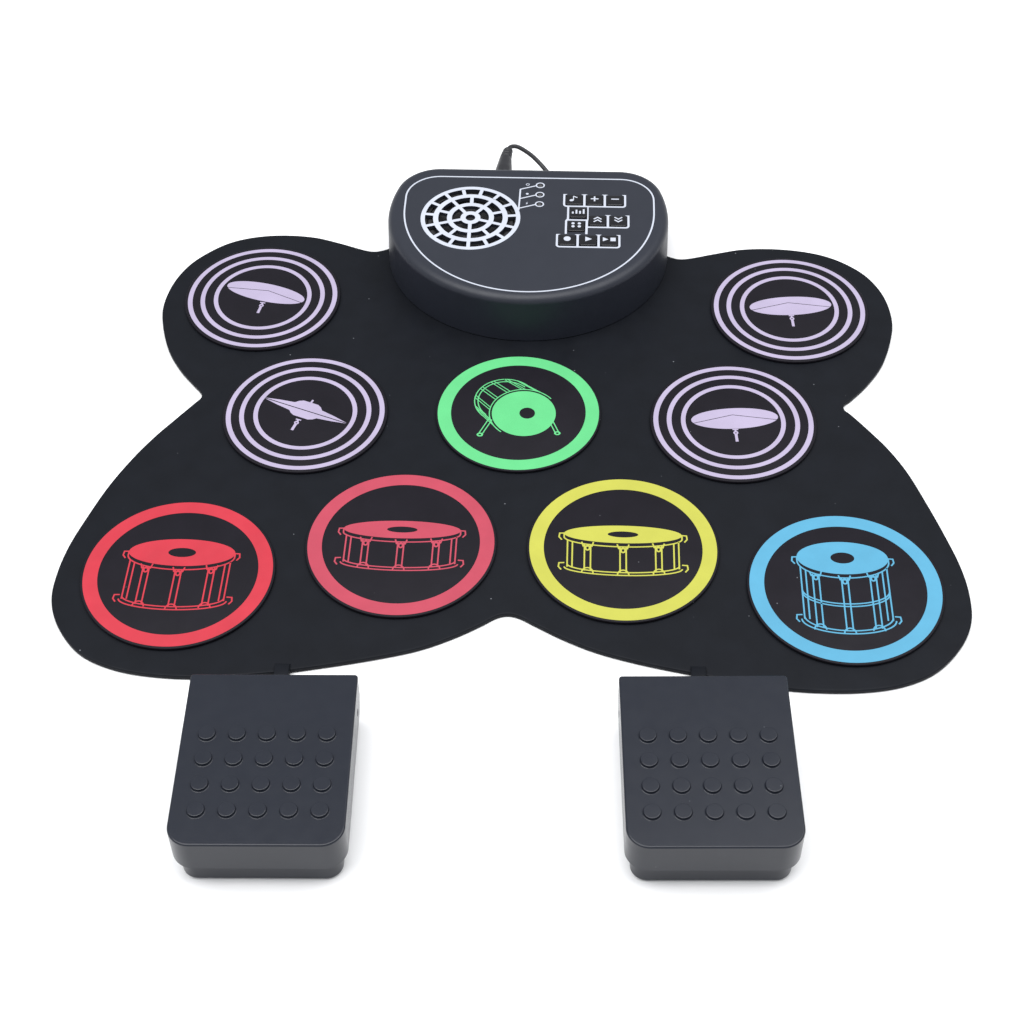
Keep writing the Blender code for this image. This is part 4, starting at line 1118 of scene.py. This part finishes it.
def pedal_cover():
    edge = 0.9
    profile = [(COVER_WALL + 1.2, PEDAL_H - 2.2), (COVER_WALL, 27.0), (COVER_WALL, SKIRT_LOW + 0.2),
               (COVER_WALL - 0.2, SKIRT_LOW), (0.25, SKIRT_LOW), (0.0, SKIRT_LOW + 0.25)]
    for i in range(7):
        turn = math.radians(15 * i)
        profile.append((edge * (1 - math.cos(turn)), PEDAL_H - edge * (1 - math.sin(turn))))
    cover = stacked(pedal_outline, profile)
    studs = []
    top = PEDAL_H + BUMP_HIGH
    for column in range(-2, 3):
        for row in range(4):
            spot = (column * BUMP_PITCH, BUMP_FIRST_ROW + row * BUMP_PITCH)
            sides = [(BUMP_R + 0.5, PEDAL_H - 0.6), (BUMP_R + 0.5, PEDAL_H + 0.01),
                     (BUMP_R + 0.26, PEDAL_H + 0.09), (BUMP_R + 0.09, PEDAL_H + 0.28),
                     (BUMP_R, PEDAL_H + 0.6), (BUMP_R, top - 0.4), (BUMP_R - 0.12, top - 0.14),
                     (BUMP_R - 0.4, top)]
            studs.append(loft(turned_z(sides, 32, spot)))
    cover = combined(cover, "UNION", merged(studs))
    half_gap = PEDAL_W / 2 - COVER_WALL
    opening = rectangle(-half_gap, half_gap, PEDAL_D - COVER_WALL - 0.6, PEDAL_D + 5)
    rear_cut = prism(opening, SKIRT_LOW - 1, PEDAL_H - 3.2)
    slant = loft([[(x, PEDAL_D - 9, SKIRT_LOW - 1), (x, PEDAL_D + 1, SKIRT_LOW - 1), (x, PEDAL_D + 1, 20.5)]
                  for x in (-PEDAL_W, PEDAL_W)])
    for cutter in (rear_cut, slant, cross_bar(PIN_R + GAP, 40)):
        cover = combined(cover, "DIFFERENCE", cutter)
    return cover


def pedal_base():
    wall = BASE_INSET + 2.0
    profile = [(wall, BASE_FLOOR + 1.6), (wall, BASE_HIGH - 0.2), (wall - 0.2, BASE_HIGH),
               (BASE_INSET + 0.2, BASE_HIGH), (BASE_INSET, BASE_HIGH - 0.2), (BASE_INSET, BASE_FLOOR + 0.8),
               (BASE_INSET + 0.06, BASE_FLOOR + 0.5), (BASE_INSET + 0.25, BASE_FLOOR + 0.22),
               (BASE_INSET + 0.5, BASE_FLOOR + 0.06), (BASE_INSET + 0.8, BASE_FLOOR)]
    return combined(stacked(pedal_outline, profile), "DIFFERENCE", cross_bar(PIN_R + GAP, 40))


def return_spring(name):
    """A coil standing on the pedal's floor, with the node's wire and turns."""
    wire, coil_r, coils, per_coil = 0.7, 5.0, 4, 24
    low, high = box_heights(name + "_return_spring")
    rings = []
    for i in range(coils * per_coil + 1):
        part = i / (coils * per_coil)
        turn = 2 * math.pi * coils * part
        out = Vector((math.cos(turn), math.sin(turn), 0))
        centre = coil_r * out + Vector((0, SPRING_Y, low + wire + (high - low - 2 * wire) * part))
        rings.append([centre + wire * (math.cos(t) * out + math.sin(t) * Vector((0, 0, 1)))
                      for t in turns(12)])
    return loft(rings)


def build_pedals():
    for name in PEDALS:
        place = pedal_matrix(name)
        cover = name + "_cover"
        solid(name + "_top", moved(pedal_cover(), place), "pedal_plastic", cover, cover, weighted=True)
        solid(name + "_tray", moved(pedal_base(), place), "pedal_plastic", "frame", name + "_base",
              weighted=True)
        pin = moved(cross_bar(PIN_R, PEDAL_W / 2 - 0.5, 0.3), place)
        solid(name + "_axle", pin, "steel", "frame", name + "_hinge_pin")
        coil = solid(name + "_coil_spring", moved(return_spring(name), place), "steel", "frame",
                     name + "_return_spring")
        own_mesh(coil)


build_pedals()


# ---- CAD nodes that keep their shape

NODE_MATERIALS = {
    "mat_sensor_film": "sensor_film", "mat_bottom_sheet": "mat_silicone",
    "module_bottom_case": "case_plastic", "speaker_frame": "painted_steel", "speaker_magnet": "ferrite",
    "main_board": "board_green", "battery_cell": "battery_foil", "keypad_membrane": "membrane",
    "charge_socket": "steel", "power_switch_body": "steel"}
for number in range(1, 5):
    NODE_MATERIALS[f"case_screw_{number}"] = "steel"
for pedal in PEDALS:
    NODE_MATERIALS[pedal + "_rubber_sole"] = "sole_rubber"
    NODE_MATERIALS[pedal + "_switch_board"] = "board_green"
for node_name, key in NODE_MATERIALS.items():
    mesh = nodes[node_name].data
    mesh.materials.clear()
    mesh.materials.append(MATERIALS[key])


# ---- floor and light

def build_floor():
    half, drop = 4.0, 0.0002
    floor = bpy.data.meshes.new("floor")
    floor.from_pydata(upright(rectangle(-half, half, -half, half), -drop), [], [(0, 1, 2, 3)])
    floor.materials.append(surface("floor_white", (0.83, 0.83, 0.835), 0.9, specular=0.1, mottle=0.005,
                                   grain=0.02))
    placed("floor", floor)


def add_light(name, place, size, watts):
    """An area light that points at the origin."""
    data = bpy.data.lights.new(name, "AREA")
    data.shape = "RECTANGLE"
    data.size, data.size_y = size
    data.energy = watts
    lamp = placed(name, data)
    lamp.location = place
    lamp.rotation_euler = (-Vector(place)).to_track_quat("-Z", "Y").to_euler()


def build_light():
    world = bpy.data.worlds.new("studio")
    world.use_nodes = True
    sky = world.node_tree.nodes["Background"]
    sky.inputs["Color"].default_value = (0.93, 0.96, 1.0, 1.0)
    sky.inputs["Strength"].default_value = 0.55
    bpy.context.scene.world = world
    add_light("key", (-0.6, -0.35, 1.8), (1.6, 1.6), 40)
    add_light("fill", (0.7, 0.1, 1.7), (1.5, 1.5), 26)
    bpy.context.scene.view_settings.view_transform = "Standard"


build_floor()
build_light()

bpy.context.view_layer.update()
